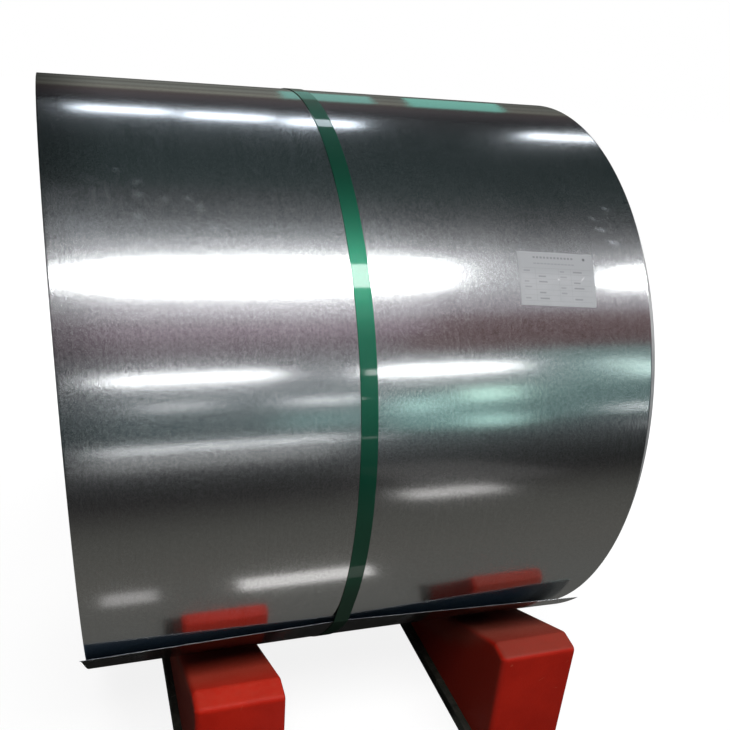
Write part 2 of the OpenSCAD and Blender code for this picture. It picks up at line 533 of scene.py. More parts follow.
@dataclass(frozen=True)
class SheetFinish:
    """Bright zinc-coated sheet with fine grain along its rolling direction."""

    colour: Colour = (0.62, 0.635, 0.645)
    dark_share: float = 0.865
    light_share: float = 1.135
    worn_colour: Colour = (0.66, 0.70, 0.75)
    rolled_stretch: Triple = (420.0, 5.0, 1.0)
    fleck_stretch: Triple = (190.0, 150.0, 1.0)
    fleck_range: tuple[float, float] = (0.32, 0.68)
    scuff_stretch: Triple = (1.0, 0.25, 1.0)
    scuff_share: float = 0.25
    rolled_tone: float = 0.15
    grain_tone: float = 0.10
    fleck_tone: float = 0.75
    roughness: float = 0.085
    grain_roughness: float = 0.30
    rolled_roughness: float = 0.02
    blotch_roughness: float = 0.015
    fleck_roughness: float = 0.03
    smudge_roughness: float = 0.16
    rolled_relief: float = 0.3
    fleck_relief: float = 2.2
    crown_share: float = 0.45
    crown_angle: float = 90.0
    crown_reach: tuple[float, float] = (12.0, 19.0)
    radius: float = 0.633
    smudges: tuple[Smudge, ...] = ()
    # Painted shade for the tail: a dark bluish colour for its inner face, in the gap under it, and a
    # near-black one for its outer face over the pads.
    gap_shade: Optional[Colour] = None
    gap_shade_dulling: float = 0.6
    grime_and_shade: Colour = (0.03, 0.016, 0.013)

    def build(self, effects: Effects, name: str) -> bpy.types.Material:
        """Make the material.

        Args:
            effects: the shared effects.
            name: the material's name.

        Returns:
            The material.
        """
        material, sketch, shader = new_material(name)
        place = sketch.place()
        rolled = sketch.spread(sketch.noise(sketch.stretch(place, self.rolled_stretch), 1.0, 3.0, 0.6))
        grain = sketch.group(effects.grain, {"Vector": place, "Fine": 1700.0, "Broad": 7.0}).outputs
        along = sketch.stretch(place, self.scuff_stretch)
        scuff = sketch.mask(effects.scuffs, {"Vector": along, "Scale": 9.0, "Amount": 0.42})
        fleck = sketch.noise(sketch.stretch(place, self.fleck_stretch), 1.0, 3.0, 0.85)
        fleck = sketch.remap(fleck, *self.fleck_range)
        haze = self.haze(sketch, effects, place)
        rough = sketch.weigh(
            sketch.remap(grain["Tone"], 0.45, 1.0, self.roughness, self.grain_roughness),
            (rolled, self.rolled_roughness),
            (grain["Blotch"], self.blotch_roughness),
            (fleck, self.fleck_roughness),
            (haze, self.smudge_roughness),
        )
        rough = sketch.math("MULTIPLY", rough, self.crown(sketch, place))
        sketch.feed(shader.inputs["Roughness"], rough)
        tones = ((grain["Tone"], self.grain_tone), (rolled, self.rolled_tone), (fleck, self.fleck_tone))
        dark = tuple(c * self.dark_share for c in self.colour)
        light = tuple(c * self.light_share for c in self.colour)
        colour = sketch.blend(sketch.weigh(0.0, *tones), rgba(dark), rgba(light))
        marks = sketch.math("MAXIMUM", haze, sketch.math("MULTIPLY", scuff, self.scuff_share))
        colour = sketch.blend(marks, colour, rgba(self.worn_colour))
        shader.inputs["Metallic"].default_value = 1.0
        # The tail's copy paints shade where the mesh's tone says so.
        if self.gap_shade:
            colour = self.darkening(sketch, shader, colour)
        sketch.feed(shader.inputs["Base Color"], colour)
        relief = sketch.weigh(grain["Tone"], (fleck, self.fleck_relief), (rolled, self.rolled_relief))
        sketch.feed(shader.inputs["Normal"], sketch.bump(relief, 0.02, 0.0004))
        return material

    def darkening(self, sketch: Sketch, shader: bpy.types.Node, colour: Socket) -> Socket:
        """Paint shade on the colour: dark bluish shade where the mesh's tone is above 0, near-black shade
        where it is below, both dull.

        Args:
            sketch: the material's sketch.
            shader: its Principled shader.
            colour: the clean sheet's colour.

        Returns:
            The colour with its painted shade.
        """
        # Tone above 0: dark bluish painted shade in the tail's gap; tone below 0: near-black painted shade
        # over the pads.
        share = sketch.tone()
        gap_shaded = sketch.remap(share, 0.0, 1.0)
        painted_dark = sketch.remap(share, -1.0, 0.0, 1.0, 0.0)
        metal = sketch.weigh(1.0, (gap_shaded, -self.gap_shade_dulling), (painted_dark, -1.0))
        sketch.feed(shader.inputs["Metallic"], metal)
        shader.inputs["Specular IOR Level"].default_value = 0.1
        colour = sketch.blend(gap_shaded, colour, rgba(self.gap_shade))
        return sketch.blend(painted_dark, colour, rgba(self.grime_and_shade))

    def crown(self, sketch: Sketch, place: Socket) -> Socket:
        """Share of the roughness that is left, least on the coil's clean crown.

        Args:
            sketch: the material's sketch.
            place: place on the flat sheet.

        Returns:
            The share's socket.
        """
        angle = sketch.math("DIVIDE", sketch.parts(place)[1], self.radius)
        away = sketch.math("ABSOLUTE", sketch.math("SUBTRACT", angle, math.radians(self.crown_angle)))
        clean, dull = (math.radians(reach) for reach in self.crown_reach)
        return sketch.remap(away, clean, dull, self.crown_share, 1.0)

    def haze(self, sketch: Sketch, effects: Effects, place: Socket) -> Socket:
        """Mask of the hazy touch marks.

        Args:
            sketch: the material's sketch.
            effects: the shared effects.
            place: place on the flat sheet.

        Returns:
            The mask's socket.
        """
        mask: Feed = 0.0
        cloud = sketch.remap(sketch.noise(place, 90.0, 5.0, 0.7), NOISE_LOW, NOISE_HIGH, 0.5, 1.0)
        for smudge in self.smudges:
            inputs = {
                "Vector": place,
                "Across": smudge.x,
                "Round": math.radians(smudge.angle) * self.radius,
                "Width": smudge.half_width,
                "Height": smudge.half_height,
                "Turn": math.radians(smudge.turn),
            }
            spot = sketch.math("MULTIPLY", sketch.mask(effects.spot, inputs), smudge.strength)
            mask = sketch.math("MAXIMUM", mask, spot)
        return sketch.math("MULTIPLY", mask, cloud)


@dataclass(frozen=True)
class CutEdgeFinish:
    """Slit edges of the turns, duller than the sheet's face, each turn with a tone of its own."""

    dark: Colour = (0.24, 0.24, 0.24)
    light: Colour = (0.66, 0.66, 0.65)
    dust: Colour = (0.5, 0.48, 0.45)
    turn_tone: float = 0.7
    blotch_tone: float = 0.3
    roughness: float = 0.36
    grain_roughness: float = 0.15

    def build(self, effects: Effects, name: str) -> bpy.types.Material:
        """Make the material.

        Args:
            effects: the shared effects.
            name: the material's name.

        Returns:
            The material.
        """
        material, sketch, shader = new_material(name)
        position = sketch.position()
        grain = sketch.group(effects.grain, {"Vector": position, "Fine": 300.0, "Broad": 6.0}).outputs
        dust = sketch.mask(effects.dust, {"Vector": position, "Scale": 30.0, "Amount": 0.3})
        tone = sketch.weigh(0.0, (sketch.tone(), self.turn_tone), (grain["Blotch"], self.blotch_tone))
        colour = sketch.blend(tone, rgba(self.dark), rgba(self.light))
        sketch.feed(shader.inputs["Base Color"], sketch.blend(dust, colour, rgba(self.dust)))
        rough = sketch.weigh(self.roughness, (grain["Tone"], self.grain_roughness))
        sketch.feed(shader.inputs["Roughness"], rough)
        shader.inputs["Metallic"].default_value = 1.0
        sketch.feed(shader.inputs["Normal"], sketch.bump(grain["Tone"], 0.1, 0.0005))
        return material


@dataclass(frozen=True)
class DullSheetFinish:
    """Sheet that handling has dulled to a soft grey."""

    light: Colour = (0.47, 0.475, 0.48)
    dark: Colour = (0.34, 0.345, 0.35)
    edge: Colour = (0.08, 0.08, 0.076)
    metallic: float = 0.4
    roughness: float = 0.5
    grain_roughness: float = 0.12

    def build(self, effects: Effects, name: str) -> bpy.types.Material:
        """Make the material.

        Args:
            effects: the shared effects.
            name: the material's name.

        Returns:
            The material.
        """
        material, sketch, shader = new_material(name)
        grain = sketch.group(effects.grain, {"Vector": sketch.place(), "Fine": 500.0, "Broad": 12.0}).outputs
        colour = sketch.blend(grain["Blotch"], rgba(self.light), rgba(self.dark))
        sketch.feed(shader.inputs["Base Color"], sketch.blend(sketch.tone(), rgba(self.edge), colour))
        rough = sketch.weigh(self.roughness, (grain["Tone"], self.grain_roughness))
        sketch.feed(shader.inputs["Roughness"], rough)
        shader.inputs["Metallic"].default_value = self.metallic
        return material


@dataclass(frozen=True)
class StrapFinish:
    """Thin see-through green plastic on bright metal: a green gloss, faint lines along it, darker towards the
    bottom.
    """

    colour: Colour = (0.017, 0.163, 0.094)
    rubbed: Colour = (0.04, 0.21, 0.13)
    lower_dark: Colour = (0.008, 0.042, 0.021)
    scuff_share: float = 0.35
    blotch_share: float = 0.12
    metallic: float = 0.92
    roughness: float = 0.38
    grain_roughness: float = 0.08
    coat_roughness: float = 0.05
    radius: float = 0.633
    axis_z: float = 0.77
    # The next two fields make the colour darker towards the bottom.
    lower_dark_share: float = 0.8
    lower_dark_depth: float = 0.41
    low_coat: float = 0.15
    coat_depth: float = 0.44

    def build(self, effects: Effects, name: str) -> bpy.types.Material:
        """Make the material.

        Args:
            effects: the shared effects.
            name: the material's name.

        Returns:
            The material.
        """
        material, sketch, shader = new_material(name)
        place = sketch.place()
        lines = sketch.noise(sketch.stretch(place, (900.0, 4.0, 1.0)), 1.0, 2.0, 0.5)
        grain = sketch.group(effects.grain, {"Vector": place, "Fine": 600.0, "Broad": 14.0}).outputs
        scuff = sketch.mask(effects.scuffs, {"Vector": place, "Scale": 22.0, "Amount": 0.45})
        worn = sketch.weigh(0.0, (grain["Blotch"], self.blotch_share), (scuff, self.scuff_share))
        colour = sketch.blend(worn, rgba(self.colour), rgba(self.rubbed))
        height = sketch.parts(sketch.position())[2]
        rise = sketch.math("DIVIDE", sketch.math("SUBTRACT", height, self.axis_z), self.radius)
        # Darker towards the bottom.
        darkening = sketch.remap(rise, -self.lower_dark_depth, 0.0, self.lower_dark_share, 0.0)
        sketch.feed(shader.inputs["Base Color"], sketch.blend(darkening, colour, rgba(self.lower_dark)))
        rough = sketch.weigh(self.roughness, (grain["Tone"], self.grain_roughness))
        sketch.feed(shader.inputs["Roughness"], rough)
        shader.inputs["Metallic"].default_value = self.metallic
        shader.inputs["Specular IOR Level"].default_value = 0.3
        clear = sketch.remap(rise, -self.coat_depth, 0.0, self.low_coat, 1.0)
        sketch.feed(shader.inputs["Coat Weight"], clear)
        shader.inputs["Coat Roughness"].default_value = self.coat_roughness
        sketch.feed(shader.inputs["Normal"], sketch.bump(lines, 0.03, 0.0003))
        return material


@dataclass(frozen=True)
class LabelFinish:
    """Matt paper with a plain ruled form: heading strokes, rows, columns and short entry strokes."""

    paper: Colour = (0.43, 0.44, 0.458)
    shade: Colour = (0.40, 0.412, 0.43)
    upper: Colour = (0.355, 0.366, 0.383)
    upper_fade: float = 0.02
    ink: Colour = (0.05, 0.052, 0.056)
    rubbed: Colour = (0.62, 0.63, 0.64)
    rubs: tuple[tuple[float, ...], ...] = (
        (0.054, 0.002, 0.009, 0.0022, -48.0),
        (0.002, -0.001, 0.004, 0.003, 0.0),
    )
    dot: tuple[float, ...] = (0.060, 0.041, 0.0045, 0.0045, 0.0)
    rule: float = 0.0008
    rule_ink: float = 0.16
    rows: tuple[float, ...] = (-0.0435, -0.0325, -0.022, -0.0115, -0.001, 0.0095, 0.020)
    columns: tuple[float, ...] = (-0.046, 0.003, 0.029)
    half_width: float = 0.073
    entries: tuple[tuple[float, float], ...] = (
        (-0.070, 0.016),
        (-0.040, 0.022),
        (0.006, 0.015),
        (0.034, 0.024),
    )
    entry_shares: tuple[float, ...] = (0.7, 0.0, 0.9, 0.6, 0.0, 0.8)
    entry_rise: tuple[float, float] = (0.0035, 0.0065)
    entry_inks: tuple[float, float] = (0.26, 0.36)
    heading_count: int = 12
    heading_left: float = -0.048
    heading_pitch: float = 0.0073
    headings: tuple[tuple[float, tuple[float, float], float], ...] = (
        (0.0045, (0.0395, 0.0435), 0.42),
        (0.0058, (0.028, 0.0305), 0.24),
    )

    def build(self, effects: Effects, name: str) -> bpy.types.Material:
        """Make the material.

        Args:
            effects: the shared effects.
            name: the material's name.

        Returns:
            The material.
        """
        material, sketch, shader = new_material(name)
        place = sketch.place()
        across, up = sketch.parts(place)[:2]
        grain = sketch.group(effects.grain, {"Vector": place, "Fine": 700.0, "Broad": 25.0}).outputs
        colour = sketch.blend(grain["Blotch"], rgba(self.paper), rgba(self.shade))
        # Darker towards the label's top.
        colour = sketch.blend(sketch.remap(up, 0.0, self.upper_fade), colour, rgba(self.upper))
        colour = sketch.blend(self.form(sketch, across, up), colour, rgba(self.ink))
        spots = [(rub, self.rubbed) for rub in self.rubs] + [(self.dot, self.ink)]
        for (x, y, long, thin, turn), tint in spots:
            inputs = {"Vector": place, "Across": x, "Round": y, "Width": long, "Height": thin}
            inputs["Turn"] = math.radians(turn)
            colour = sketch.blend(sketch.mask(effects.spot, inputs), colour, rgba(tint))
        sketch.feed(shader.inputs["Base Color"], colour)
        sketch.feed(shader.inputs["Roughness"], sketch.weigh(0.5, (grain["Tone"], 0.1)))
        sketch.feed(shader.inputs["Normal"], sketch.bump(grain["Tone"], 0.1, 0.0003))
        return material

    def form(self, sketch: Sketch, across: Socket, up: Socket) -> Feed:
        """Ink of the ruled form.

        Args:
            sketch: the material's sketch.
            across: place along the label's width, from its middle.
            up: place along its height.

        Returns:
            The ink's mask.
        """
        half = self.rule / 2
        wide = (-self.half_width, self.half_width)
        tall = (self.rows[0], self.rows[-1])
        marks = [(wide, (row - half, row + half), self.rule_ink) for row in self.rows]
        marks += [((column - half, column + half), tall, self.rule_ink) for column in self.columns]
        low, high = self.entry_rise
        for column, (start, length) in enumerate(self.entries):
            for number, row in enumerate(self.rows[:-1]):
                share = self.entry_shares[(number + 2 * column) % len(self.entry_shares)]
                if share:
                    reach = (start, start + length * share)
                    marks.append((reach, (row + low, row + high), self.entry_inks[column % 2]))
        for number in range(self.heading_count):
            left = self.heading_left + self.heading_pitch * number
            marks += [((left, left + width), ends, ink) for width, ends, ink in self.headings]
        mask: Feed = 0.0
        for sides, ends, ink in marks:
            mark = self.box(sketch, across, up, sides, ends)
            mask = sketch.math("MAXIMUM", mask, sketch.math("MULTIPLY", mark, ink))
        return mask

    @staticmethod
    def box(
        sketch: Sketch,
        across: Socket,
        up: Socket,
        wide: tuple[float, float],
        high: tuple[float, float],
    ) -> Socket:
        """Mask of an upright box on the label.

        Args:
            sketch: the material's sketch.
            across: place along the width.
            up: place along the height.
            wide: the box's left and right side.
            high: its lower and upper side.

        Returns:
            The box's mask.
        """
        near = []
        for value, (low, top) in ((across, wide), (up, high)):
            near.append(sketch.math("COMPARE", value, (low + top) / 2, (top - low) / 2))
        return sketch.math("MULTIPLY", near[0], near[1])


@dataclass(frozen=True)
class PadFinish:
    """Red cast polyurethane, scuffed, brown on its slope, darker where the coil lies from grime and painted
    shade, and with painted shade on the faces that look along X.
    """

    colour: Colour = (0.66, 0.020, 0.007)
    deep: Colour = (0.57, 0.015, 0.005)
    # The next colour darkens the pad near the coil: partly grime, partly painted shade under the coil.
    grime_and_shade: Colour = (0.15, 0.045, 0.03)
    grime_and_shade_share: float = 0.45
    grime_and_shade_reach: tuple[float, float] = (0.006, 0.055)
    film: Colour = (0.44, 0.084, 0.050)
    film_share: float = 0.5
    film_reach: tuple[float, float] = (0.055, 0.10)
    # Painted shade on the faces that look along X.
    side: Colour = (0.13, 0.034, 0.024)
    side_shade_share: float = 0.85
    scuffed: Colour = (0.60, 0.12, 0.07)
    scuff_share: float = 0.6
    dust: Colour = (0.50, 0.11, 0.07)
    dust_amount: float = 0.15
    bloom: float = 0.10
    roughness: float = 0.5
    grain_roughness: float = 0.1
    dust_roughness: float = 0.5
    cloud_gap: float = 0.012

    def build(self, effects: Effects, name: str, shape: "CoilShape") -> bpy.types.Material:
        """Make the material.

        Args:
            effects: the shared effects.
            name: the material's name.
            shape: the coil, near which the grime lies.

        Returns:
            The material.
        """
        material, sketch, shader = new_material(name)
        position = sketch.position()
        grain = sketch.group(effects.grain, {"Vector": position, "Fine": 260.0, "Broad": 11.0}).outputs
        scuff = sketch.mask(effects.scuffs, {"Vector": position, "Scale": 14.0, "Amount": 0.36})
        dust = sketch.mask(effects.dust, {"Vector": position, "Scale": 70.0, "Amount": self.dust_amount})
        facing = sketch.parts(sketch.geometry("Normal"))
        sideways = sketch.math("ABSOLUTE", facing[0])
        gap = self.gap(sketch, position, grain["Blotch"], shape)
        layers = (
            (sketch.math("MULTIPLY", scuff, self.scuff_share), self.scuffed),
            (dust, self.dust),
            (sketch.remap(facing[2], 0.6, 0.95, 0.0, self.bloom), self.dust),
            # Painted shade on the faces that look along X.
            (sketch.remap(sideways, 0.75, 1.0, 0.0, self.side_shade_share), self.side),
            (sketch.remap(gap, *self.film_reach, self.film_share, 0.0), self.film),
            # Darker near the coil: partly grime, partly painted shade.
            (sketch.remap(gap, *self.grime_and_shade_reach, self.grime_and_shade_share, 0.0), self.grime_and_shade),
        )
        colour = sketch.blend(grain["Blotch"], rgba(self.colour), rgba(self.deep))
        for share, tint in layers:
            colour = sketch.blend(share, colour, rgba(tint))
        sketch.feed(shader.inputs["Base Color"], colour)
        terms = ((grain["Tone"], self.grain_roughness), (dust, self.dust_roughness))
        sketch.feed(shader.inputs["Roughness"], sketch.weigh(self.roughness, *terms))
        shader.inputs["Specular IOR Level"].default_value = 0.2
        sketch.feed(shader.inputs["Normal"], sketch.bump(grain["Tone"], 0.12, 0.0012))
        return material

    def gap(self, sketch: Sketch, position: Socket, cloud: Socket, shape: "CoilShape") -> Socket:
        """Gap to the coil, broken up by soft noise.

        Args:
            sketch: the material's sketch.
            position: place in the part's frame.
            cloud: the noise.
            shape: the coil.

        Returns:
            The gap's socket.
        """
        middle = (0.0, 0.0, shape.axis_z)
        offset = sketch.add("ShaderNodeVectorMath", {0: position, 1: middle}, operation="SUBTRACT").outputs[0]
        across = sketch.stretch(offset, (0.0, 1.0, 1.0))
        gap = sketch.math("SUBTRACT", sketch.length(across), shape.radius)
        return sketch.weigh(gap, (cloud, self.cloud_gap))


@dataclass(frozen=True)
class RailFinish:
    """Dark painted steel, scuffed to bare metal in places and dusty on top."""

    paint: Colour = (0.014, 0.016, 0.012)
    faded: Colour = (0.026, 0.029, 0.023)
    bare: Colour = (0.16, 0.15, 0.13)
    dust: Colour = (0.09, 0.085, 0.072)
    bare_metal: float = 0.7
    roughness: float = 0.5
    grain_roughness: float = 0.2

    def build(self, effects: Effects, name: str) -> bpy.types.Material:
        """Make the material.

        Args:
            effects: the shared effects.
            name: the material's name.

        Returns:
            The material.
        """
        material, sketch, shader = new_material(name)
        position = sketch.position()
        grain = sketch.group(effects.grain, {"Vector": position, "Fine": 220.0, "Broad": 16.0}).outputs
        scuff = sketch.mask(effects.scuffs, {"Vector": position, "Scale": 10.0, "Amount": 0.5})
        dust = sketch.mask(effects.dust, {"Vector": position, "Scale": 45.0, "Amount": 0.45})
        colour = sketch.blend(grain["Blotch"], rgba(self.paint), rgba(self.faded))
        colour = sketch.blend(scuff, colour, rgba(self.bare))
        sketch.feed(shader.inputs["Base Color"], sketch.blend(dust, colour, rgba(self.dust)))
        rough = sketch.weigh(self.roughness, (grain["Tone"], self.grain_roughness))
        sketch.feed(shader.inputs["Roughness"], rough)
        sketch.feed(shader.inputs["Metallic"], sketch.math("MULTIPLY", scuff, self.bare_metal))
        sketch.feed(shader.inputs["Normal"], sketch.bump(grain["Tone"], 0.25, 0.0012))
        return material


@dataclass(frozen=True)
class CoilShape:
    """Driving sizes of the coil, its tail and its strap, with the curves that they give."""

    middle_x: float
    axis_z: float
    radius: float
    bore_radius: float
    width: float
    sheet: float = 0.001
    left_root: float = -52.0
    right_root: float = -64.0
    left_curl: float = 5.0
    right_curl: float = 2.0
    tail_left: float = -31.7
    tail_right: float = -33.9
    left_gap: float = 0.016
    strap_gap: float = 0.005
    right_gap: float = 0.025
    tail_over: float = 0.010
    tail_short: float = 0.022
    tail_inset: float = 0.002
    strap_x: float = -0.042
    strap_width: float = 0.032
    turns: int = 189

    @classmethod
    def from_frame(cls) -> "CoilShape":
        """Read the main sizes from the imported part.

        Returns:
            The shape.
        """
        bore = next(m for m in frame["record"]["mounts"] if m["name"] == "bore")
        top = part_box("coil")[1][2]
        middle_x, _, axis_z = bore["pos_m"]
        dims = bore["dims"]
        return cls(middle_x, axis_z, top - axis_z, dims["r_mm"] / 1000, dims["length_mm"] / 1000)

    def around(self, x: float, radius: float, angle: float) -> Vector:
        """Point at a radius and an angle round the axis, at x from the coil's middle."""
        turn = math.radians(angle)
        return Vector((self.middle_x + x, -radius * math.cos(turn), self.axis_z + radius * math.sin(turn)))

    def wound(self, turn: float) -> float:
        """Radius of the sheet's face along its spiral.

        Args:
            turn: how many turns inward from the tail's root.

        Returns:
            The radius.
        """
        if turn < 1:
            return self.radius - self.sheet * turn
        pitch = (self.radius - self.sheet - self.bore_radius) / (self.turns - 1)
        return self.radius - self.sheet - pitch * (turn - 1)

    def face(self, angle: float) -> float:
        """Radius of the outer turn's face at an angle."""
        return self.wound(((self.left_root - angle) % 360) / 360)

    def along(self, left: float, right: float, x: float) -> float:
        """Blend from the value at the coil's left end to that at its right end."""
        return mix(left, right, x / self.width + 0.5)

    def edge_angle(self, x: float) -> float:
        """Angle of the tail's free edge."""
        return self.along(self.tail_left, self.tail_right, x)

    def root_angle(self, x: float) -> float:
        """Angle at which the tail leaves the coil."""
        return self.along(self.left_root, self.right_root, x)

    def tail_angle(self, x: float, share: float) -> float:
        """Angle of the tail between its root and its free edge."""
        return mix(self.root_angle(x), self.edge_angle(x), share)

    def tail_x(self, across: float, share: float) -> float:
        """Place along the axis.

        Args:
            across: place between the tail's left side (0) and its right side (1).
            share: place between the tail's root and its free edge.

        Returns:
            The place, from the coil's middle.
        """
        inset = self.tail_inset
        left = -self.width / 2 + inset - (self.tail_over + inset) * share
        right = self.width / 2 - inset - (self.tail_short - inset) * share
        return mix(left, right, across)

    def lift(self, x: float, share: float) -> float:
        """Height of the tail's outer face off the coil, where the strap pulls it in.

        Args:
            x: place along the axis, from the coil's middle.
            share: place between the tail's root and its free edge.

        Returns:
            The height.
        """
        half = self.strap_width / 2
        power = self.along(self.left_curl, self.right_curl, self.strap_x)
        strapped = (self.strap_gap + self.sheet) * share ** power
        if x < self.strap_x - half:
            out = (self.strap_x - half - x) / (self.width / 2 + self.tail_over + self.strap_x - half)
            return mix(strapped, (self.left_gap + self.sheet) * share ** self.left_curl, out)
        if x > self.strap_x + half:
            out = (x - self.strap_x - half) / (self.width / 2 - self.tail_short - self.strap_x - half)
            return mix(strapped, (self.right_gap + self.sheet) * share ** self.right_curl, out)
        return strapped

    def tail_outer(self, x: float, share: float) -> float:
        """Radius of the tail's outer face."""
        return self.radius + self.lift(x, share)


@dataclass(frozen=True)
class Station:
    """A place along a turn of sheet: x, drop below the face, share of the turn's set-back, and tone."""

    x: float
    drop: float
    share: float = 0.0
    tone: float = 1.0


@dataclass
class Coil:
    """The wound sheet: outer turn, tail, the turns' edges at both ends, and the bore."""

    shape: CoilShape
    seed: int = 11
    round_steps: int = 720
    across_steps: int = 44
    ring_steps: int = 160
    tail_steps: int = 30
    bore_steps: int = 12
    tail_sheet: float = 0.9
    # The next three fields thin out the painted bluish shade on the tail's inner face toward its right end.
    clear_inside: float = 0.8
    clear_from: float = 0.37
    clear_over: float = 0.15
    # The next three fields place the painted dark shade on the tail's outer face over the pads.
    pad_shade: float = 1.0
    shade_fade: float = 0.02
    shade_zones: tuple[tuple[float, float], ...] = ((-0.44, -0.16), (0.12, 0.41))
    rim: float = 0.0006
    ripple: float = 0.00012
    set_back: float = 0.0016
    drift_turns: int = 9
    loose_share: float = 0.07
    loose_depth: float = 0.45
    edge_seat: float = 0.0002
    edge_margin: float = 0.004
    wrap_edge: float = 0.0022
    rim_step: float = 0.0078
    rim_low: float = 0.0012
    step_top: float = 50.0
    step_fade: float = 22.0
    step_foot: float = -16.0
    step_rise: float = 30.0
    step_least: float = 0.22
    node: str = "coil"

    def rim_profile(self, drop: float) -> list[tuple[float, float]]:
        """Rounded sheet edge.

        Args:
            drop: how far the edge reaches below the sheet's face.

        Returns:
            Pairs of distance in from the edge and drop below the face, from the inside out.
        """
        steps = 4
        turns = [math.pi / 2 * i / steps for i in range(steps + 1)]
        return [(self.rim * (1 - math.sin(t)), self.rim * (1 - math.cos(t))) for t in turns] + [(0.0, drop)]

    def step(self, angle: float) -> float:
        """How far the outer turn's right edge lies in from the coil's end, most of all on the front.

        Args:
            angle: degrees up from the front horizontal.

        Returns:
            The distance.
        """
        turn = (angle + 180) % 360 - 180
        above = smooth((self.step_top - turn) / self.step_fade)
        below = mix(self.step_least, 1.0, smooth((turn - self.step_foot) / self.step_rise))
        return self.rim_low + (self.rim_step - self.rim_low) * above * below

    def build_wrap(self, material: bpy.types.Material) -> None:
        """Make the outer turn, a spiral sheet with rounded rims and a very slight ripple.

        Args:
            material: the bright sheet's finish.
        """
        half = self.shape.width / 2
        reach = half - self.edge_margin
        left_rim = self.rim_profile(self.shape.sheet)[::-1]
        stations = [Station(-half + inset, drop) for inset, drop in left_rim]
        for i in range(self.across_steps + 1):
            share = i / self.across_steps
            stations.append(Station(mix(-reach, reach, share), 0.0, share ** 4))
        stations += [Station(half - inset, drop, 1.0) for inset, drop in self.rim_profile(self.wrap_edge)]
        self.build_turn("coil_wrap", stations, 0, material)

    def build_rim(self, material: bpy.types.Material) -> None:
        """Make the strip of the second turn that shows past the outer turn's right edge.

        Args:
            material: the dull sheet's finish.
        """
        half = self.shape.width / 2
        flat = ((self.edge_margin, 1.0), (self.edge_margin / 2, 0.5), (0.0011, 0.0))
        stations = [Station(half - inset, 0.0, share) for inset, share in flat]
        right_rim = self.rim_profile(self.shape.sheet)
        stations += [Station(half - inset, drop, tone=0.0) for inset, drop in right_rim]
        self.build_turn("coil_rim_right", stations, 1, material)

    def build_turn(self, name: str, stations: list[Station], lap: int, material: bpy.types.Material) -> None:
        """Sweep stations once round the coil along the sheet's spiral.

        Args:
            name: the piece's name.
            stations: places along the axis, from left to right.
            lap: how many turns lie outside this one.
            material: the finish.
        """
        shape = self.shape
        draft = MeshDraft()
        rows = []
        for station in stations:
            row = []
            for i in range(self.round_steps + 1):
                angle = shape.left_root + 360 * i / self.round_steps
                turn = math.radians(angle)
                x = station.x - station.share * self.step(angle)
                wave = math.sin(x * 19 + 0.7) * math.sin(3 * turn + 0.4)
                wave += 0.6 * math.sin(x * 31 + 5 * turn + 2.1)
                sink = station.drop + self.ripple * (1 - 0.6 * wave) / 2
                radius = shape.wound(lap + 1 - i / self.round_steps) - sink
                place = (x, turn * shape.radius)
                row.append(draft.point(shape.around(x, radius, angle), place, station.tone))
            rows.append(row)
        draft.skin(rows)
        hand_in(draft.finish(name), material, self.node)

    def grime_and_shade(self, x: float) -> float:
        """Share of painted shade on the tail's outer face over the pads, a dark colour in place of the shaded
        pad slope that it mirrors.

        Args:
            x: place along the axis, from the coil's middle.

        Returns:
            The share.
        """
        inside = max(min(x - left, right - x) for left, right in self.shade_zones)
        return self.pad_shade * smooth((inside + self.shade_fade) / (2 * self.shade_fade))

    def build_tail(self, material: bpy.types.Material) -> None:
        """Make the tail, a closed sheet that springs off the coil.

        Args:
            material: the sheet's finish with painted shade.
        """
        shape = self.shape
        draft = MeshDraft()
        rows = []
        for j in range(self.across_steps + 1):
            across = j / self.across_steps
            outer = []
            inner = []
            for i in range(self.tail_steps + 1):
                share = i / self.tail_steps
                x = shape.tail_x(across, share)
                angle = shape.tail_angle(x, share)
                place = (x, math.radians(angle) * shape.radius)
                radius = shape.tail_outer(x, share)
                under = radius - self.tail_sheet * shape.sheet
                # The inner face gets painted bluish shade, less of it toward the right end; the outer face
                # gets painted dark shade over the pads.
                clear = self.clear_inside * smooth((x - self.clear_from) / self.clear_over)
                outer.append(draft.point(shape.around(x, radius, angle), place, -self.grime_and_shade(x)))
                inner.append(draft.point(shape.around(x, under, angle), place, 1.0 - clear))
            rows.append(outer + inner[::-1])
        draft.skin(rows, closed=True)
        draft.faces.append(tuple(reversed(rows[0])))
        draft.faces.append(tuple(rows[-1]))
        hand_in(draft.finish("coil_tail"), material, self.node)

    def build_end(self, side: Side, material: bpy.types.Material) -> None:
        """Make the edges of all turns at one end, each set back a little by its own amount.

        Args:
            side: which end.
            material: the cut edges' finish.
        """
        shape = self.shape
        dice = random.Random(self.seed + side.value)
        turns = shape.turns
        span = self.drift_turns
        drift = [dice.uniform(-1, 1) for _ in range(turns // span + 3)]
        depths = []
        tones = []
        for k in range(turns + 2):
            base = mix(drift[k // span], drift[k // span + 1], (k % span) / span)
            loose = self.loose_depth if dice.random() < self.loose_share else 0.0
            depth = 0.3 + 0.28 * base + loose + dice.uniform(-0.12, 0.12)
            depths.append(self.rim + self.set_back * clamp(depth))
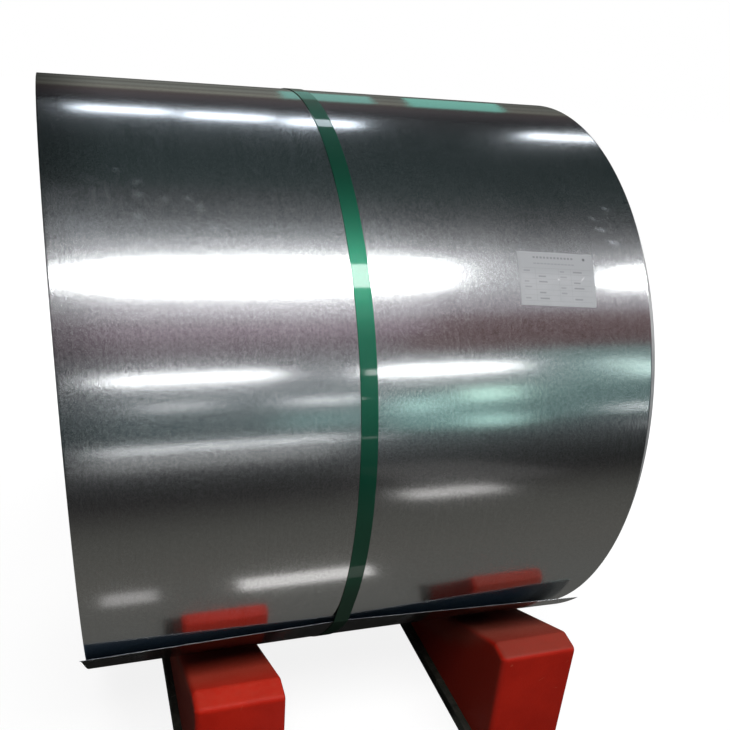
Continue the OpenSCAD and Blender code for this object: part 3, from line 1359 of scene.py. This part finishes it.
            # Turns that sit deeper also get a darker tone.
            tones.append(clamp(0.6 + 0.25 * base - loose + dice.uniform(-0.25, 0.25)))
        first = self.ring_steps if side is Side.RIGHT else 0
        count = (turns - 1) * self.ring_steps - first
        draft = MeshDraft()
        outer = []
        inner = []
        for j in range(count + 1):
            turn = (first + j) / self.ring_steps
            lap = int(turn)
            part = turn - lap
            angle = shape.left_root - 360 * turn
            x = side.value * (shape.width / 2 - mix(depths[lap], depths[lap + 1], part))
            tone = mix(tones[lap], tones[lap + 1], part)
            for edge, radius in ((outer, shape.wound(turn)), (inner, shape.wound(turn + 1))):
                edge.append(draft.point(shape.around(x, radius - self.edge_seat, angle), tone=tone))
        lap = self.ring_steps
        draft.skin([outer, inner] if side is Side.RIGHT else [inner, outer])
        walls = [inner[:count + 1 - lap], outer[lap:]]
        draft.skin(walls if side is Side.RIGHT else walls[::-1])
        hand_in(draft.finish(f"coil_end_{side.name.lower()}"), material, self.node)

    def build_bore(self, material: bpy.types.Material) -> None:
        """Make the innermost turn's face, with the step of the sheet's head.

        Args:
            material: the plain bright sheet's finish.
        """
        shape = self.shape
        draft = MeshDraft()
        rows = []
        reach = shape.width / 2 - self.rim
        stations = [mix(-reach, reach, j / self.bore_steps) for j in range(self.bore_steps + 1)]
        steps = self.ring_steps * 2
        for i in range(steps + 1):
            turn = shape.turns - 1 + i / steps
            angle = shape.left_root - 360 * turn
            radius = shape.wound(turn)
            arc = math.radians(angle) * shape.bore_radius
            rows.append([draft.point(shape.around(x, radius, angle), (x, arc)) for x in stations])
        last = shape.left_root - 360 * shape.turns
        head = shape.wound(shape.turns - 1)
        step = [draft.point(shape.around(x, head, last), (x, 0.0)) for x in stations]
        draft.skin(rows + [step])
        hand_in(draft.finish("coil_bore"), material, self.node)


@dataclass
class Strap:
    """One plastic strap round the coil and over its tail, its ends overlapped at the back."""

    shape: CoilShape
    thickness: float = 0.0012
    edge_round: float = 0.0004
    seat: float = 0.0001
    joint_angle: float = 158.0
    overlap: float = 9.0
    climb: float = 3.0
    crease_steps: tuple[float, ...] = (0.0, 0.6, 1.5, -0.6)
    steps: int = 360
    node: str = "strap"

    def profile(self) -> list[tuple[float, float]]:
        """Rounded section.

        Returns:
            Pairs of place across and height, once round.
        """
        half = self.shape.strap_width / 2 - self.edge_round
        low = self.edge_round
        high = self.thickness - self.edge_round
        points = []
        for corner, (x, z) in enumerate(((half, low), (half, high), (-half, high), (-half, low))):
            for step in range(4):
                turn = math.radians(-90 + 90 * corner + 30 * step)
                points.append((x + self.edge_round * math.cos(turn), z + self.edge_round * math.sin(turn)))
            if corner == 1:
                flat = half - self.thickness
                points += [(flat, self.thickness), (-flat, self.thickness)]
        return points

    def lay(self, angle: float) -> float:
        """Radius of the strap's underside at an angle.

        Args:
            angle: degrees up from the front horizontal.

        Returns:
            The radius: on the coil, on the tail, or on the straight stretch that leaves the tail's edge.
        """
        shape = self.shape
        edge = shape.edge_angle(shape.strap_x)
        edge_radius = shape.tail_outer(shape.strap_x, 1.0) + self.seat
        root = shape.root_angle(shape.strap_x)
        around = (angle - root) % 360
        reach = edge - root
        if around <= reach:
            return shape.tail_outer(shape.strap_x, around / reach) + self.seat
        on_coil = shape.face(angle) + self.seat
        past = math.radians(around - reach)
        touch = math.acos(min(1.0, on_coil / edge_radius))
        if past < touch:
            return on_coil / math.cos(touch - past)
        return on_coil

    def build(self, material: bpy.types.Material) -> None:
        """Sweep the section along the strap's path.

        Args:
            material: the plastic's finish.
        """
        shape = self.shape
        draft = MeshDraft()
        rows = []
        total = 360 + self.overlap
        angles = [self.joint_angle - total * i / self.steps for i in range(self.steps + 1)]
        crease = shape.edge_angle(shape.strap_x)
        angles = sorted(angles + [crease + step for step in self.crease_steps], reverse=True)
        for angle in angles:
            gone = self.joint_angle - angle
            over = clamp((gone - 360 + self.climb) / self.climb)
            radius = self.lay(angle) + over * (self.thickness + self.seat)
            row = []
            for x, height in self.profile():
                where = shape.around(shape.strap_x + x, radius + height, angle)
                row.append(draft.point(where, (x, math.radians(angle) * shape.radius)))
            rows.append(row)
        draft.skin(rows, closed=True)
        draft.faces.append(tuple(reversed(rows[0])))
        draft.faces.append(tuple(rows[-1]))
        hand_in(draft.finish("strap_band"), material, self.node)


@dataclass
class Label:
    """A paper label that lies on the outer turn, turned a little in its own plane."""

    shape: CoilShape
    width: float = 0.160
    height: float = 0.105
    thickness: float = 0.0003
    seat: float = 0.0001
    from_end: float = 0.204
    angle: float = 35.8
    tilt: float = 3.0
    steps: tuple[int, int] = (16, 24)
    node: str = "label"

    def build(self, material: bpy.types.Material) -> None:
        """Bend the sheet round the coil.

        Args:
            material: the paper's finish.
        """
        shape = self.shape
        middle = shape.width / 2 - self.from_end
        tilt = math.radians(self.tilt)
        draft = MeshDraft()
        faces = []
        for lift in (self.seat, self.seat + self.thickness):
            rows = []
            for j in range(self.steps[1] + 1):
                row = []
                for i in range(self.steps[0] + 1):
                    u = (i / self.steps[0] - 0.5) * self.width
                    v = (j / self.steps[1] - 0.5) * self.height
                    x = middle + u * math.cos(tilt) + v * math.sin(tilt)
                    arc = v * math.cos(tilt) - u * math.sin(tilt)
                    angle = self.angle + math.degrees(arc / shape.radius)
                    row.append(draft.point(shape.around(x, shape.face(angle) + lift, angle), (u, v)))
                rows.append(row)
            faces.append(rows)
        under, over = faces
        draft.skin(over)
        draft.skin([row[::-1] for row in under])
        rims = []
        for rows in faces:
            right = [row[-1] for row in rows]
            left = [row[0] for row in rows]
            rims.append(rows[0] + right[1:] + rows[-1][-2::-1] + left[-2:0:-1])
        draft.skin(rims, closed=True)
        hand_in(draft.finish("label_sheet"), material, self.node)


@dataclass
class Pad:
    """One cast saddle pad with a slope for the coil and a rounded land at its outer end."""

    shape: CoilShape
    node: str
    slope: float = 23.2
    land: float = 0.052
    land_drop: float = 0.009
    brow_round: float = 0.012
    left_round: float = 0.015
    right_round: float = 0.005
    seat: float = 0.0003
    foot_clear: float = 0.0001
    rim_near: float = 1e-5
    round_steps: int = 5
    curve_steps: int = 8
    outline: list[Vector] = field(default_factory=list)

    def corner(self, before: Vector, at: Vector, after: Vector, reach: float) -> list[Vector]:
        """Rounded corner of the outline.

        Args:
            before: the point before the corner.
            at: the corner.
            after: the point after it.
            reach: how far the rounding reaches along both sides.

        Returns:
            The points along the rounding.
        """
        start = at + (before - at).normalized() * reach
        end = at + (after - at).normalized() * reach
        shares = [i / self.curve_steps for i in range(self.curve_steps + 1)]
        return [start * (1 - t) ** 2 + at * 2 * t * (1 - t) + end * t ** 2 for t in shares]

    def draw_outline(self, outer: float, inner: float, foot: float) -> None:
        """Draw the pad's side view, as Y and Z.

        Args:
            outer: the end face's distance from the coil's centre plane.
            inner: the low end's distance.
            foot: height of the pad's base.
        """
        lean = math.radians(self.slope)

        def ramp(y: float) -> float:
            """Height of the slope at a distance from the centre plane."""
            return self.shape.axis_z - (self.shape.radius + self.seat - y * math.sin(lean)) / math.cos(lean)

        crest = Vector((-(outer - self.land), ramp(outer - self.land)))
        brow = Vector((-outer, crest.y - self.land_drop))
        toe = Vector((-inner, ramp(inner)))
        base = Vector((-outer, foot))
        self.outline = [base]
        self.outline += self.corner(base, brow, crest, self.brow_round)
        self.outline += self.corner(brow, crest, toe, self.brow_round / 2)
        self.outline += [toe, Vector((-inner, foot))]

    def build(self, material: bpy.types.Material) -> None:
        """Extrude the outline between the node's two sides and round the rims of both.

        Args:
            material: the cast pad's finish.
        """
        low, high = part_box(self.node)
        front = low[1] < 0
        outer, inner = (-low[1], -high[1]) if front else (high[1], low[1])
        self.draw_outline(outer, inner, low[2])
        flip = 1 if front else -1
        shell = prism([[(x, flip * p.x, p.y) for p in self.outline] for x in (low[0], high[0])])
        foot = low[2] + self.foot_clear
        for x, reach in ((low[0], self.left_round), (high[0], self.right_round)):
            rim = [e for e in shell.edges if all(abs(v.co.x - x) < self.rim_near for v in e.verts)]
            rim = [e for e in rim if max(v.co.z for v in e.verts) > foot]
            round_edges(shell, rim, reach, self.round_steps)
        hand_in(settle(shell, f"{self.node}_block"), material, self.node)


@dataclass
class Rail:
    """One flat steel rail under a front and a back pad."""

    node: str
    edge_round: float = 0.003
    round_steps: int = 3

    def build(self, material: bpy.types.Material) -> None:
        """Draw the rail's section, run it along Y and round its edges.

        Args:
            material: the paint.
        """
        low, high = (Vector(c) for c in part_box(self.node))
        section = ((low.x, low.z), (high.x, low.z), (high.x, high.z), (low.x, high.z))
        shell = prism([[(x, y, z) for x, z in section] for y in (low.y, high.y)])
        round_edges(shell, shell.edges[:], self.edge_round, self.round_steps)
        hand_in(settle(shell, f"{self.node}_bar"), material, self.node)


@dataclass(frozen=True)
class Softbox:
    """A light card on the arc: reach along X, angle and height in degrees, light, tint, left end's share."""

    name: str
    left: float
    right: float
    angle: float
    height: float
    light: float
    tint: Colour = (1.0, 1.0, 1.0)
    taper: float = 1.0


@dataclass(frozen=True)
class FloorCard:
    """A small card on the dark floor card: its reach along X and Y, and its light."""

    name: str
    wide: tuple[float, float]
    deep: tuple[float, float]
    light: float


@dataclass
class Studio:
    """Pale floor, soft light, and an arc of dark and light cards that only the glossy surfaces mirror."""

    shape: CoilShape
    arc_radius: float = 4.5
    card_radius: float = 4.4
    card_step: float = 0.02
    card_bright: float = 3.0
    card_rows: int = 4
    arc_rows: int = 120
    floor_card_z: float = 0.004
    gleam_z: float = 0.006
    gleam_tint: Colour = (1.0, 0.96, 0.93)
    half_length: float = 9.0
    floor_size: float = 40.0
    right_share: float = 0.72
    right_fade: tuple[float, float] = (0.9, 2.6)
    left_share: float = 0.32
    left_fade: tuple[float, float] = (-0.70, -0.20)
    ambient: float = 0.04
    key_power: float = 172.0
    key_place: Triple = (0.4, -2.9, 4.3)
    back_power: float = 80.0
    back_place: Triple = (-0.6, 3.2, 3.8)
    lamp_size: tuple[float, float] = (4.0, 1.6)
    lamp_target: Triple = (0.0, 0.0, 0.4)
    bands: tuple[tuple[float, Colour], ...] = (
        (-14.0, (0.05, 0.05, 0.05)),
        (-10.0, (0.06, 0.06, 0.06)),
        (-7.0, (0.07, 0.072, 0.076)),
        (-4.0, (0.10, 0.11, 0.118)),
        (1.0, (0.085, 0.112, 0.116)),
        (6.0, (0.098, 0.132, 0.137)),
        (14.0, (0.19, 0.22, 0.232)),
        (26.0, (0.20, 0.20, 0.212)),
        (31.0, (0.212, 0.162, 0.188)),
        (38.0, (0.285, 0.218, 0.255)),
        (44.0, (0.42, 0.37, 0.41)),
        (50.0, (0.46, 0.46, 0.48)),
        (62.0, (0.46, 0.46, 0.48)),
        (67.0, (0.265, 0.265, 0.275)),
        (76.0, (0.09, 0.095, 0.10)),
        (86.0, (0.040, 0.055, 0.056)),
        (100.0, (0.032, 0.046, 0.047)),
        (120.0, (0.035, 0.046, 0.048)),
        (135.0, (0.048, 0.046, 0.05)),
        (142.0, (0.095, 0.085, 0.09)),
        (147.3, (0.10, 0.082, 0.08)),
        (148.8, (0.25, 0.25, 0.212)),
        (151.0, (0.25, 0.245, 0.215)),
        (152.5, (0.12, 0.115, 0.10)),
        (154.5, (0.22, 0.225, 0.20)),
        (157.5, (0.20, 0.205, 0.185)),
        (160.0, (0.11, 0.11, 0.098)),
        (164.0, (0.20, 0.205, 0.185)),
        (169.0, (0.10, 0.10, 0.092)),
        (194.0, (0.20, 0.20, 0.18)),
    )
    boxes: tuple[Softbox, ...] = (
        Softbox("main", -0.22, 1.66, 54.8, 8.5, 14.0),
        Softbox("main_end", -0.62, -0.22, 55.0, 8.5, 14.0, taper=0.3),
        Softbox("main_tip", -0.85, -0.62, 55.2, 2.5, 14.0),
        Softbox("main_glow", -0.35, 1.55, 54.8, 18.0, 0.80, taper=0.7),
        Softbox("high_1", -0.60, 1.45, 66.4, 5.2, 0.40, (0.98, 1.0, 1.04)),
        Softbox("high_2", -0.70, 1.40, 72.0, 6.0, 0.22, (0.95, 1.0, 1.05)),
        Softbox("high_3", -0.70, 1.30, 78.6, 7.2, 0.105, (0.93, 1.0, 1.05)),
        Softbox("high_4", -0.70, 0.90, 85.0, 5.6, 0.070, (0.90, 1.0, 1.05)),
        Softbox("main_low", -0.50, 1.62, 42.6, 6.8, 0.55, (1.0, 0.93, 1.0), 0.3),
        Softbox("pink_low", -0.50, 1.60, 36.4, 5.6, 0.335, (1.0, 0.74, 0.89), 0.3),
        Softbox("blush", 1.4, 4.6, 33.5, 13.0, 0.115, (1.0, 0.46, 0.48)),
        Softbox("main_right", 3.02, 6.0, 53.6, 6.6, 12.0),
        Softbox("crown_1", -0.464, 0.083, 127.6, 3.8, 4.4, (0.88, 0.96, 1.06)),
        Softbox("crown_2", 0.164, 0.714, 126.8, 4.3, 4.2, (0.88, 0.96, 1.06)),
        Softbox("crown_3", 0.802, 1.29, 125.6, 5.2, 3.9, (0.88, 0.96, 1.06)),
        Softbox("crown_4", 2.50, 3.20, 124.4, 4.6, 3.8, (0.92, 0.98, 1.05)),
        Softbox("low_left", -0.45, 0.57, 21.4, 1.8, 7.0),
        Softbox("low_middle", 1.16, 2.17, 20.7, 2.0, 8.0),
        Softbox("low_left_glow", -0.42, 0.55, 20.4, 9.5, 0.43, (0.96, 1.0, 1.04), 0.6),
        Softbox("low_middle_glow", 1.20, 2.20, 20.2, 9.5, 0.40, (0.92, 1.0, 1.01)),
        Softbox("thin_left", -0.26, 0.17, 12.2, 0.8, 3.0),
        Softbox("thin_middle", 0.62, 1.15, 11.7, 0.8, 4.2),
        Softbox("thin_right", 2.97, 3.5, 2.4, 0.6, 5.6),
        Softbox("thin_right_low", 3.24, 3.6, -4.6, 0.9, 1.5),
        Softbox("low_line", -0.52, 0.99, -1.6, 0.8, 4.2),
        Softbox("low_line_end", 1.12, 1.30, -2.5, 0.6, 2.0),
        Softbox("low_haze", -0.60, 0.92, -6.0, 5.0, 0.33),
        Softbox("teal_1", 1.84, 2.20, 11.0, 5.0, 1.95, (0.66, 1.0, 0.86)),
        Softbox("teal_2", 1.37, 1.62, 7.8, 4.6, 1.3, (0.64, 1.0, 0.92)),
        Softbox("teal_3", 1.86, 2.24, 0.9, 4.0, 1.45, (0.64, 1.0, 0.90)),
        Softbox("teal_4", 2.86, 3.20, 20.2, 6.0, 1.35, (0.76, 1.0, 0.94), 0.3),
        Softbox("teal_8", 3.16, 3.60, 17.2, 5.5, 2.1, (0.76, 1.0, 0.93)),
        Softbox("teal_5", 2.3, 3.6, 19.2, 14.6, 0.30, (0.64, 1.0, 0.97)),
        Softbox("teal_9", 2.3, 3.6, 6.2, 11.4, 0.225, (0.60, 1.0, 0.97)),
        Softbox("teal_6", 0.60, 1.15, 5.0, 6.0, 0.36, (0.62, 1.0, 0.97)),
        Softbox("teal_7", 1.30, 2.2, 5.8, 13.0, 0.43, (0.58, 1.0, 0.94)),
        Softbox("teal_top_1", 0.86, 1.50, 154.5, 13.0, 0.46, (0.50, 1.0, 0.88)),
        Softbox("teal_top_2", 1.76, 2.50, 156.0, 17.0, 0.50, (0.42, 1.0, 0.84)),
    )
    floor_cards: tuple[FloorCard, ...] = (
        # The under card is painted shadow: the dark floor beneath the coil, for the steel to mirror.
        FloorCard("under", (-0.62, 0.60), (-0.46, 0.46), 0.008),
        FloorCard("gleam_left", (-0.51, -0.38), (-0.91, -0.81), 0.55),
        FloorCard("gleam_middle", (-0.17, 0.19), (-0.905, -0.80), 1.12),
        FloorCard("gleam_right", (0.57, 0.96), (-2.03, -1.80), 1.0),
        FloorCard("gleam_far", (0.72, 1.40), (-3.4, -2.15), 0.10),
    )
    floor_bands: tuple[tuple[float, Colour], ...] = (
        (-5.6, (0.10, 0.10, 0.11)),
        (-4.2, (0.055, 0.055, 0.057)),
        (-3.2, (0.028, 0.028, 0.028)),
        (-2.4, (0.026, 0.024, 0.024)),
        (-2.0, (0.055, 0.053, 0.049)),
        (-1.5, (0.10, 0.098, 0.088)),
        (-1.0, (0.125, 0.12, 0.108)),
        (-0.6, (0.13, 0.128, 0.118)),
        (0.0, (0.10, 0.10, 0.095)),
        (3.0, (0.12, 0.118, 0.108)),
    )

    def build(self) -> None:
        """Make the floor, the lamps, the world and the cards."""
        self.build_floor()
        self.build_lamps()
        self.build_world()
        self.build_arc()
        self.build_floor_card()
        for card in self.floor_cards:
            self.build_gleam(card)
        for box in self.boxes:
            self.build_softbox(box)
        log.info("studio: %d softboxes", len(self.boxes))

    @staticmethod
    def sheet(
        name: str,
        rows: Sequence[Sequence[Vector]],
        material: bpy.types.Material,
    ) -> bpy.types.Object:
        """Put a stage sheet in the scene.

        Args:
            name: its name.
            rows: rows of its points.
            material: its material.

        Returns:
            The new object.
        """
        draft = MeshDraft()
        draft.skin([[draft.point(p) for p in row] for row in rows])
        card = draft.finish(name)
        card.data.materials.append(material)
        return card

    @staticmethod
    def mirror_only(card: bpy.types.Object) -> None:
        """Let a card show in reflections alone.

        Args:
            card: the card.
        """
        card.visible_camera = False
        card.visible_diffuse = False
        card.visible_shadow = False
        card.visible_volume_scatter = False

    @staticmethod
    def glow(name: str) -> tuple[bpy.types.Material, Sketch, bpy.types.Node]:
        """Start a plain glowing material.

        Args:
            name: its name.

        Returns:
            The material, its sketch and its Emission node.
        """
        material = bpy.data.materials.new(name)
        material.use_nodes = True
        tree = material.node_tree
        tree.nodes.clear()
        sketch = Sketch(tree)
        emission = sketch.add("ShaderNodeEmission", {})
        sketch.add("ShaderNodeOutputMaterial", {"Surface": emission.outputs[0]})
        return material, sketch, emission

    def banded(
        self,
        name: str,
        bands: Sequence[tuple[float, Colour]],
        value: Callable[[Sketch], Socket],
        left_share: float = 1.0,
    ) -> bpy.types.Material:
        """Make a glowing material whose colour runs through bands.

        Args:
            name: its name.
            bands: pairs of a place and its colour, in order.
            value: gives the socket of the place.
            left_share: share of the light that is left past the coil's left end.

        Returns:
            The material.
        """
        material, sketch, emission = self.glow(name)
        low = bands[0][0]
        high = bands[-1][0]
        share = sketch.math("DIVIDE", sketch.math("SUBTRACT", value(sketch), low), high - low)
        ramp = sketch.add("ShaderNodeValToRGB", {0: share})
        stops = ramp.color_ramp.elements
        for number, (where, colour) in enumerate(bands):
            place = (where - low) / (high - low)
            stop = stops[number] if number < 2 else stops.new(place)
            stop.position = place
            stop.color = rgba(colour)
        sketch.feed(emission.inputs["Color"], ramp.outputs[0])
        along = sketch.parts(sketch.geometry("Position"))[0]
        right = sketch.remap(along, *self.right_fade, 1.0, self.right_share)
        left = sketch.remap(along, *self.left_fade, left_share, 1.0)
        sketch.feed(emission.inputs["Strength"], sketch.math("MULTIPLY", left, right))
        material.cycles.emission_sampling = "NONE"
        return material

    def build_arc(self) -> None:
        """Make the arc of dark bands round the coil."""

        def angle(sketch: Sketch) -> Socket:
            """Angle round the coil's axis, in degrees.

            Args:
                sketch: the material's sketch.

            Returns:
                The angle's socket.
            """
            parts = sketch.parts(sketch.geometry("Position"))
            up = sketch.math("SUBTRACT", parts[2], self.shape.axis_z)
            front = sketch.math("MULTIPLY", parts[1], -1.0)
            turn = sketch.math("ARCTAN2", up, front)
            turn = sketch.math("MULTIPLY", turn, 180 / math.pi)
            return sketch.math("WRAP", turn, 270.0, -90.0)

        low = self.bands[0][0]
        high = self.bands[-1][0]
        ends = (-self.half_length, self.half_length)
        turns = [mix(low, high, i / self.arc_rows) for i in range(self.arc_rows + 1)]
        rows = [[self.shape.around(x, self.arc_radius, turn) for x in ends] for turn in turns]
        material = self.banded("arc_bands", self.bands, angle, self.left_share)
        self.mirror_only(self.sheet("arc_card", rows, material))

    def build_floor_card(self) -> None:
        """Make the dark card that the coil mirrors in place of the pale floor."""

        def depth(sketch: Sketch) -> Socket:
            """Place along Y."""
            return sketch.parts(sketch.geometry("Position"))[1]

        ends = (-self.half_length, self.half_length)
        rows = [[Vector((x, y, self.floor_card_z)) for x in ends] for y in (-6.0, -1.0, 6.0)]
        material = self.banded("floor_bands", self.floor_bands, depth)
        self.mirror_only(self.sheet("floor_card", rows, material))

    def build_gleam(self, card: FloorCard) -> None:
        """Make one small card just above the dark floor card.

        Args:
            card: its place and light.
        """
        material, _, emission = self.glow(f"gleam_{card.name}")
        emission.inputs["Color"].default_value = rgba(self.gleam_tint)
        emission.inputs["Strength"].default_value = card.light
        rows = [[Vector((x, y, self.gleam_z)) for x in card.wide] for y in card.deep]
        self.mirror_only(self.sheet(f"gleam_{card.name}", rows, material))

    def build_softbox(self, box: Softbox) -> None:
        """Make one light card, a brighter one in front of a dimmer one.

        Args:
            box: its place and light.
        """
        material, _, emission = self.glow(f"softbox_{box.name}")
        emission.inputs["Color"].default_value = rgba(box.tint)
        emission.inputs["Strength"].default_value = box.light
        radius = self.card_radius - self.card_step * min(box.light, self.card_bright)
        rows = []
        for i in range(self.card_rows + 1):
            rise = box.height * (i / self.card_rows - 0.5)
            ends = ((box.left, rise * box.taper), (box.right, rise))
            rows.append([self.shape.around(x, radius, box.angle + turn) for x, turn in ends])
        self.mirror_only(self.sheet(f"softbox_{box.name}", rows, material))

    def build_floor(self) -> None:
        """Make the pale floor, lifted to white for the camera but with the object's shadow."""
        material, sketch, shader = new_material("pale_floor")
        seen = sketch.seen()
        position = sketch.position()
        cloud = sketch.noise(position, 1.5, 3.0, 0.5)
        pale = sketch.blend(cloud, rgba((0.23, 0.23, 0.23)), rgba((0.25, 0.25, 0.25)))
        sketch.feed(shader.inputs["Base Color"], sketch.blend(seen, rgba((0.10, 0.10, 0.10)), pale))
        shader.inputs["Roughness"].default_value = 0.9
        shader.inputs["Specular IOR Level"].default_value = 0.0
        shader.inputs["Emission Color"].default_value = rgba((1.0, 1.0, 1.0))
        lift = sketch.remap(sketch.length(position), 0.8, 2.6, 0.87, 1.0)
        sketch.feed(shader.inputs["Emission Strength"], sketch.math("MULTIPLY", seen, lift))
        half = self.floor_size / 2
        rows = [[Vector((x, y, 0.0)) for x in (-half, half)] for y in (-half, half)]
        self.sheet("floor", rows, material)

    def build_lamps(self) -> None:
        """Hang a large soft lamp high in front and a weaker one behind."""
        target = Vector(self.lamp_target)
        for name, place, power in (
            ("key_lamp", Vector(self.key_place), self.key_power),
            ("back_lamp", Vector(self.back_place), self.back_power),
        ):
            data = bpy.data.lights.new(name, "AREA")
            data.shape = "RECTANGLE"
            data.size, data.size_y = self.lamp_size
            data.energy = power
            lamp = bpy.data.objects.new(name, data)
            lamp.location = place
            lamp.rotation_euler = (target - place).to_track_quat("-Z", "Y").to_euler()
            lamp.visible_glossy = False
            bpy.context.collection.objects.link(lamp)

    def build_world(self) -> None:
        """Make a white surround for what is seen and mirrored, and a low soft light for the rest."""
        world = bpy.data.worlds.new("studio")
        bpy.context.scene.world = world
        world.use_nodes = True
        sketch = Sketch(world.node_tree)
        background = world.node_tree.nodes["Background"]
        background.inputs["Color"].default_value = rgba((1.0, 1.0, 1.0))
        levels = {0: sketch.seen(), 2: self.ambient, 3: 1.0}
        strength = sketch.add("ShaderNodeMix", levels, data_type="FLOAT").outputs[0]
        sketch.feed(background.inputs["Strength"], strength)


@dataclass(frozen=True)
class Viewpoint:
    """The photograph's viewing angle, in metres and degrees."""

    place: Triple = (-0.4975, -1.8847, 1.5229)
    yaw: float = 21.071
    pitch: float = -27.241
    roll: float = 5.221
    lens: float = 41.57
    shift: tuple[float, float] = (-0.0218, 0.142)
    sensor: float = 36.0
    far: float = 100.0

    def build(self) -> None:
        """Set up the camera."""
        yaw, pitch, roll = (math.radians(a) for a in (self.yaw, self.pitch, self.roll))
        ahead = Vector((math.sin(yaw) * math.cos(pitch), math.cos(yaw) * math.cos(pitch), math.sin(pitch)))
        level = Vector((math.cos(yaw), -math.sin(yaw), 0.0))
        above = level.cross(ahead)
        right = level * math.cos(roll) + above * math.sin(roll)
        up = above * math.cos(roll) - level * math.sin(roll)
        data = bpy.data.cameras.new("camera")
        data.sensor_width = self.sensor
        data.lens = self.lens
        data.shift_x, data.shift_y = self.shift
        data.clip_end = self.far
        camera = bpy.data.objects.new("camera", data)
        turned = Matrix((right, up, -ahead)).transposed().to_4x4()
        camera.matrix_world = Matrix.Translation(Vector(self.place)) @ turned
        bpy.context.collection.objects.link(camera)
        bpy.context.scene.camera = camera


def touch_marks() -> tuple[Smudge, ...]:
    """Hazy marks on the front of the outer turn.

    Returns:
        The marks.
    """
    return (
        Smudge(-0.525, 49.0, 0.045, 0.050, 0.20),
        Smudge(-0.500, 46.0, 0.060, 0.045, 0.18),
        Smudge(-0.466, 47.5, 0.060, 0.040, 0.16),
        Smudge(-0.471, 50.4, 0.010, 0.018, 0.38),
        Smudge(-0.4505, 50.5, 0.011, 0.020, 0.42),
        Smudge(-0.475, 52.9, 0.040, 0.014, 0.20, 12.0),
        Smudge(-0.432, 54.9, 0.010, 0.010, 0.75),
        Smudge(-0.402, 52.7, 0.017, 0.012, 0.60, -30.0),
        Smudge(-0.401, 50.3, 0.016, 0.014, 0.60),
        Smudge(-0.359, 49.5, 0.013, 0.012, 0.55),
        Smudge(-0.321, 49.7, 0.013, 0.011, 0.50),
        Smudge(-0.303, 48.1, 0.013, 0.013, 0.55),
        Smudge(-0.405, 46.3, 0.016, 0.016, 0.34),
        Smudge(-0.284, 44.5, 0.014, 0.012, 0.20),
        Smudge(0.488, 49.5, 0.016, 0.008, 0.75, 30.0),
        Smudge(0.453, 47.3, 0.018, 0.008, 0.65, 20.0),
        Smudge(0.463, 45.1, 0.022, 0.008, 0.85, 9.0),
        Smudge(0.485, 42.5, 0.026, 0.009, 0.80, 17.0),
    )


def main() -> None:
    """Build the camera, the studio and every piece in order."""
    logging.basicConfig(level=logging.INFO, format="%(message)s")
    bpy.context.scene.view_settings.view_transform = "Standard"
    shape = CoilShape.from_frame()
    effects = Effects()
    Viewpoint().build()
    Studio(shape).build()

    bright = SheetFinish(radius=shape.radius, smudges=touch_marks()).build(effects, "bright_sheet")
    plain = SheetFinish(radius=shape.radius).build(effects, "bright_sheet_plain")
    cut = CutEdgeFinish().build(effects, "cut_edges")
    coil = Coil(shape)
    coil.build_wrap(bright)
    coil.build_rim(DullSheetFinish().build(effects, "dull_sheet"))
    # The tail's finish paints shade: dark bluish on its inner face, near-black on its outer face over the
    # pads.
    gap_shaded = SheetFinish(radius=shape.radius, gap_shade=(0.065, 0.105, 0.155))
    coil.build_tail(gap_shaded.build(effects, "bright_sheet_stained"))
    coil.build_end(Side.LEFT, cut)
    coil.build_end(Side.RIGHT, cut)
    coil.build_bore(plain)

    plastic = StrapFinish(radius=shape.radius, axis_z=shape.axis_z)
    Strap(shape).build(plastic.build(effects, "green_strap"))
    Label(shape).build(LabelFinish().build(effects, "ruled_paper"))

    clean = PadFinish().build(effects, "red_cast", shape)
    for node in ("left_front_pad", "left_back_pad"):
        Pad(shape, node).build(clean)
    # The right pads: a darker red than the left ones, which stands in for the weaker light on them, and more
    # dust; their side colour sets their painted side shade.
    shaded_dusty = PadFinish(
        colour=(0.58, 0.020, 0.008),
        deep=(0.49, 0.015, 0.006),
        side=(0.356, 0.028, 0.014),
        dust=(0.23, 0.060, 0.040),
        dust_amount=0.2,
        bloom=0.6,
        film=(0.33, 0.098, 0.066),
    ).build(effects, "red_cast_dusty", shape)
    for node in ("right_front_pad", "right_back_pad"):
        Pad(shape, node).build(shaded_dusty)
    paint = RailFinish().build(effects, "dark_paint")
    for node in ("left_rail", "right_rail"):
        Rail(node).build(paint)


if __name__ == "__main__":
    main()
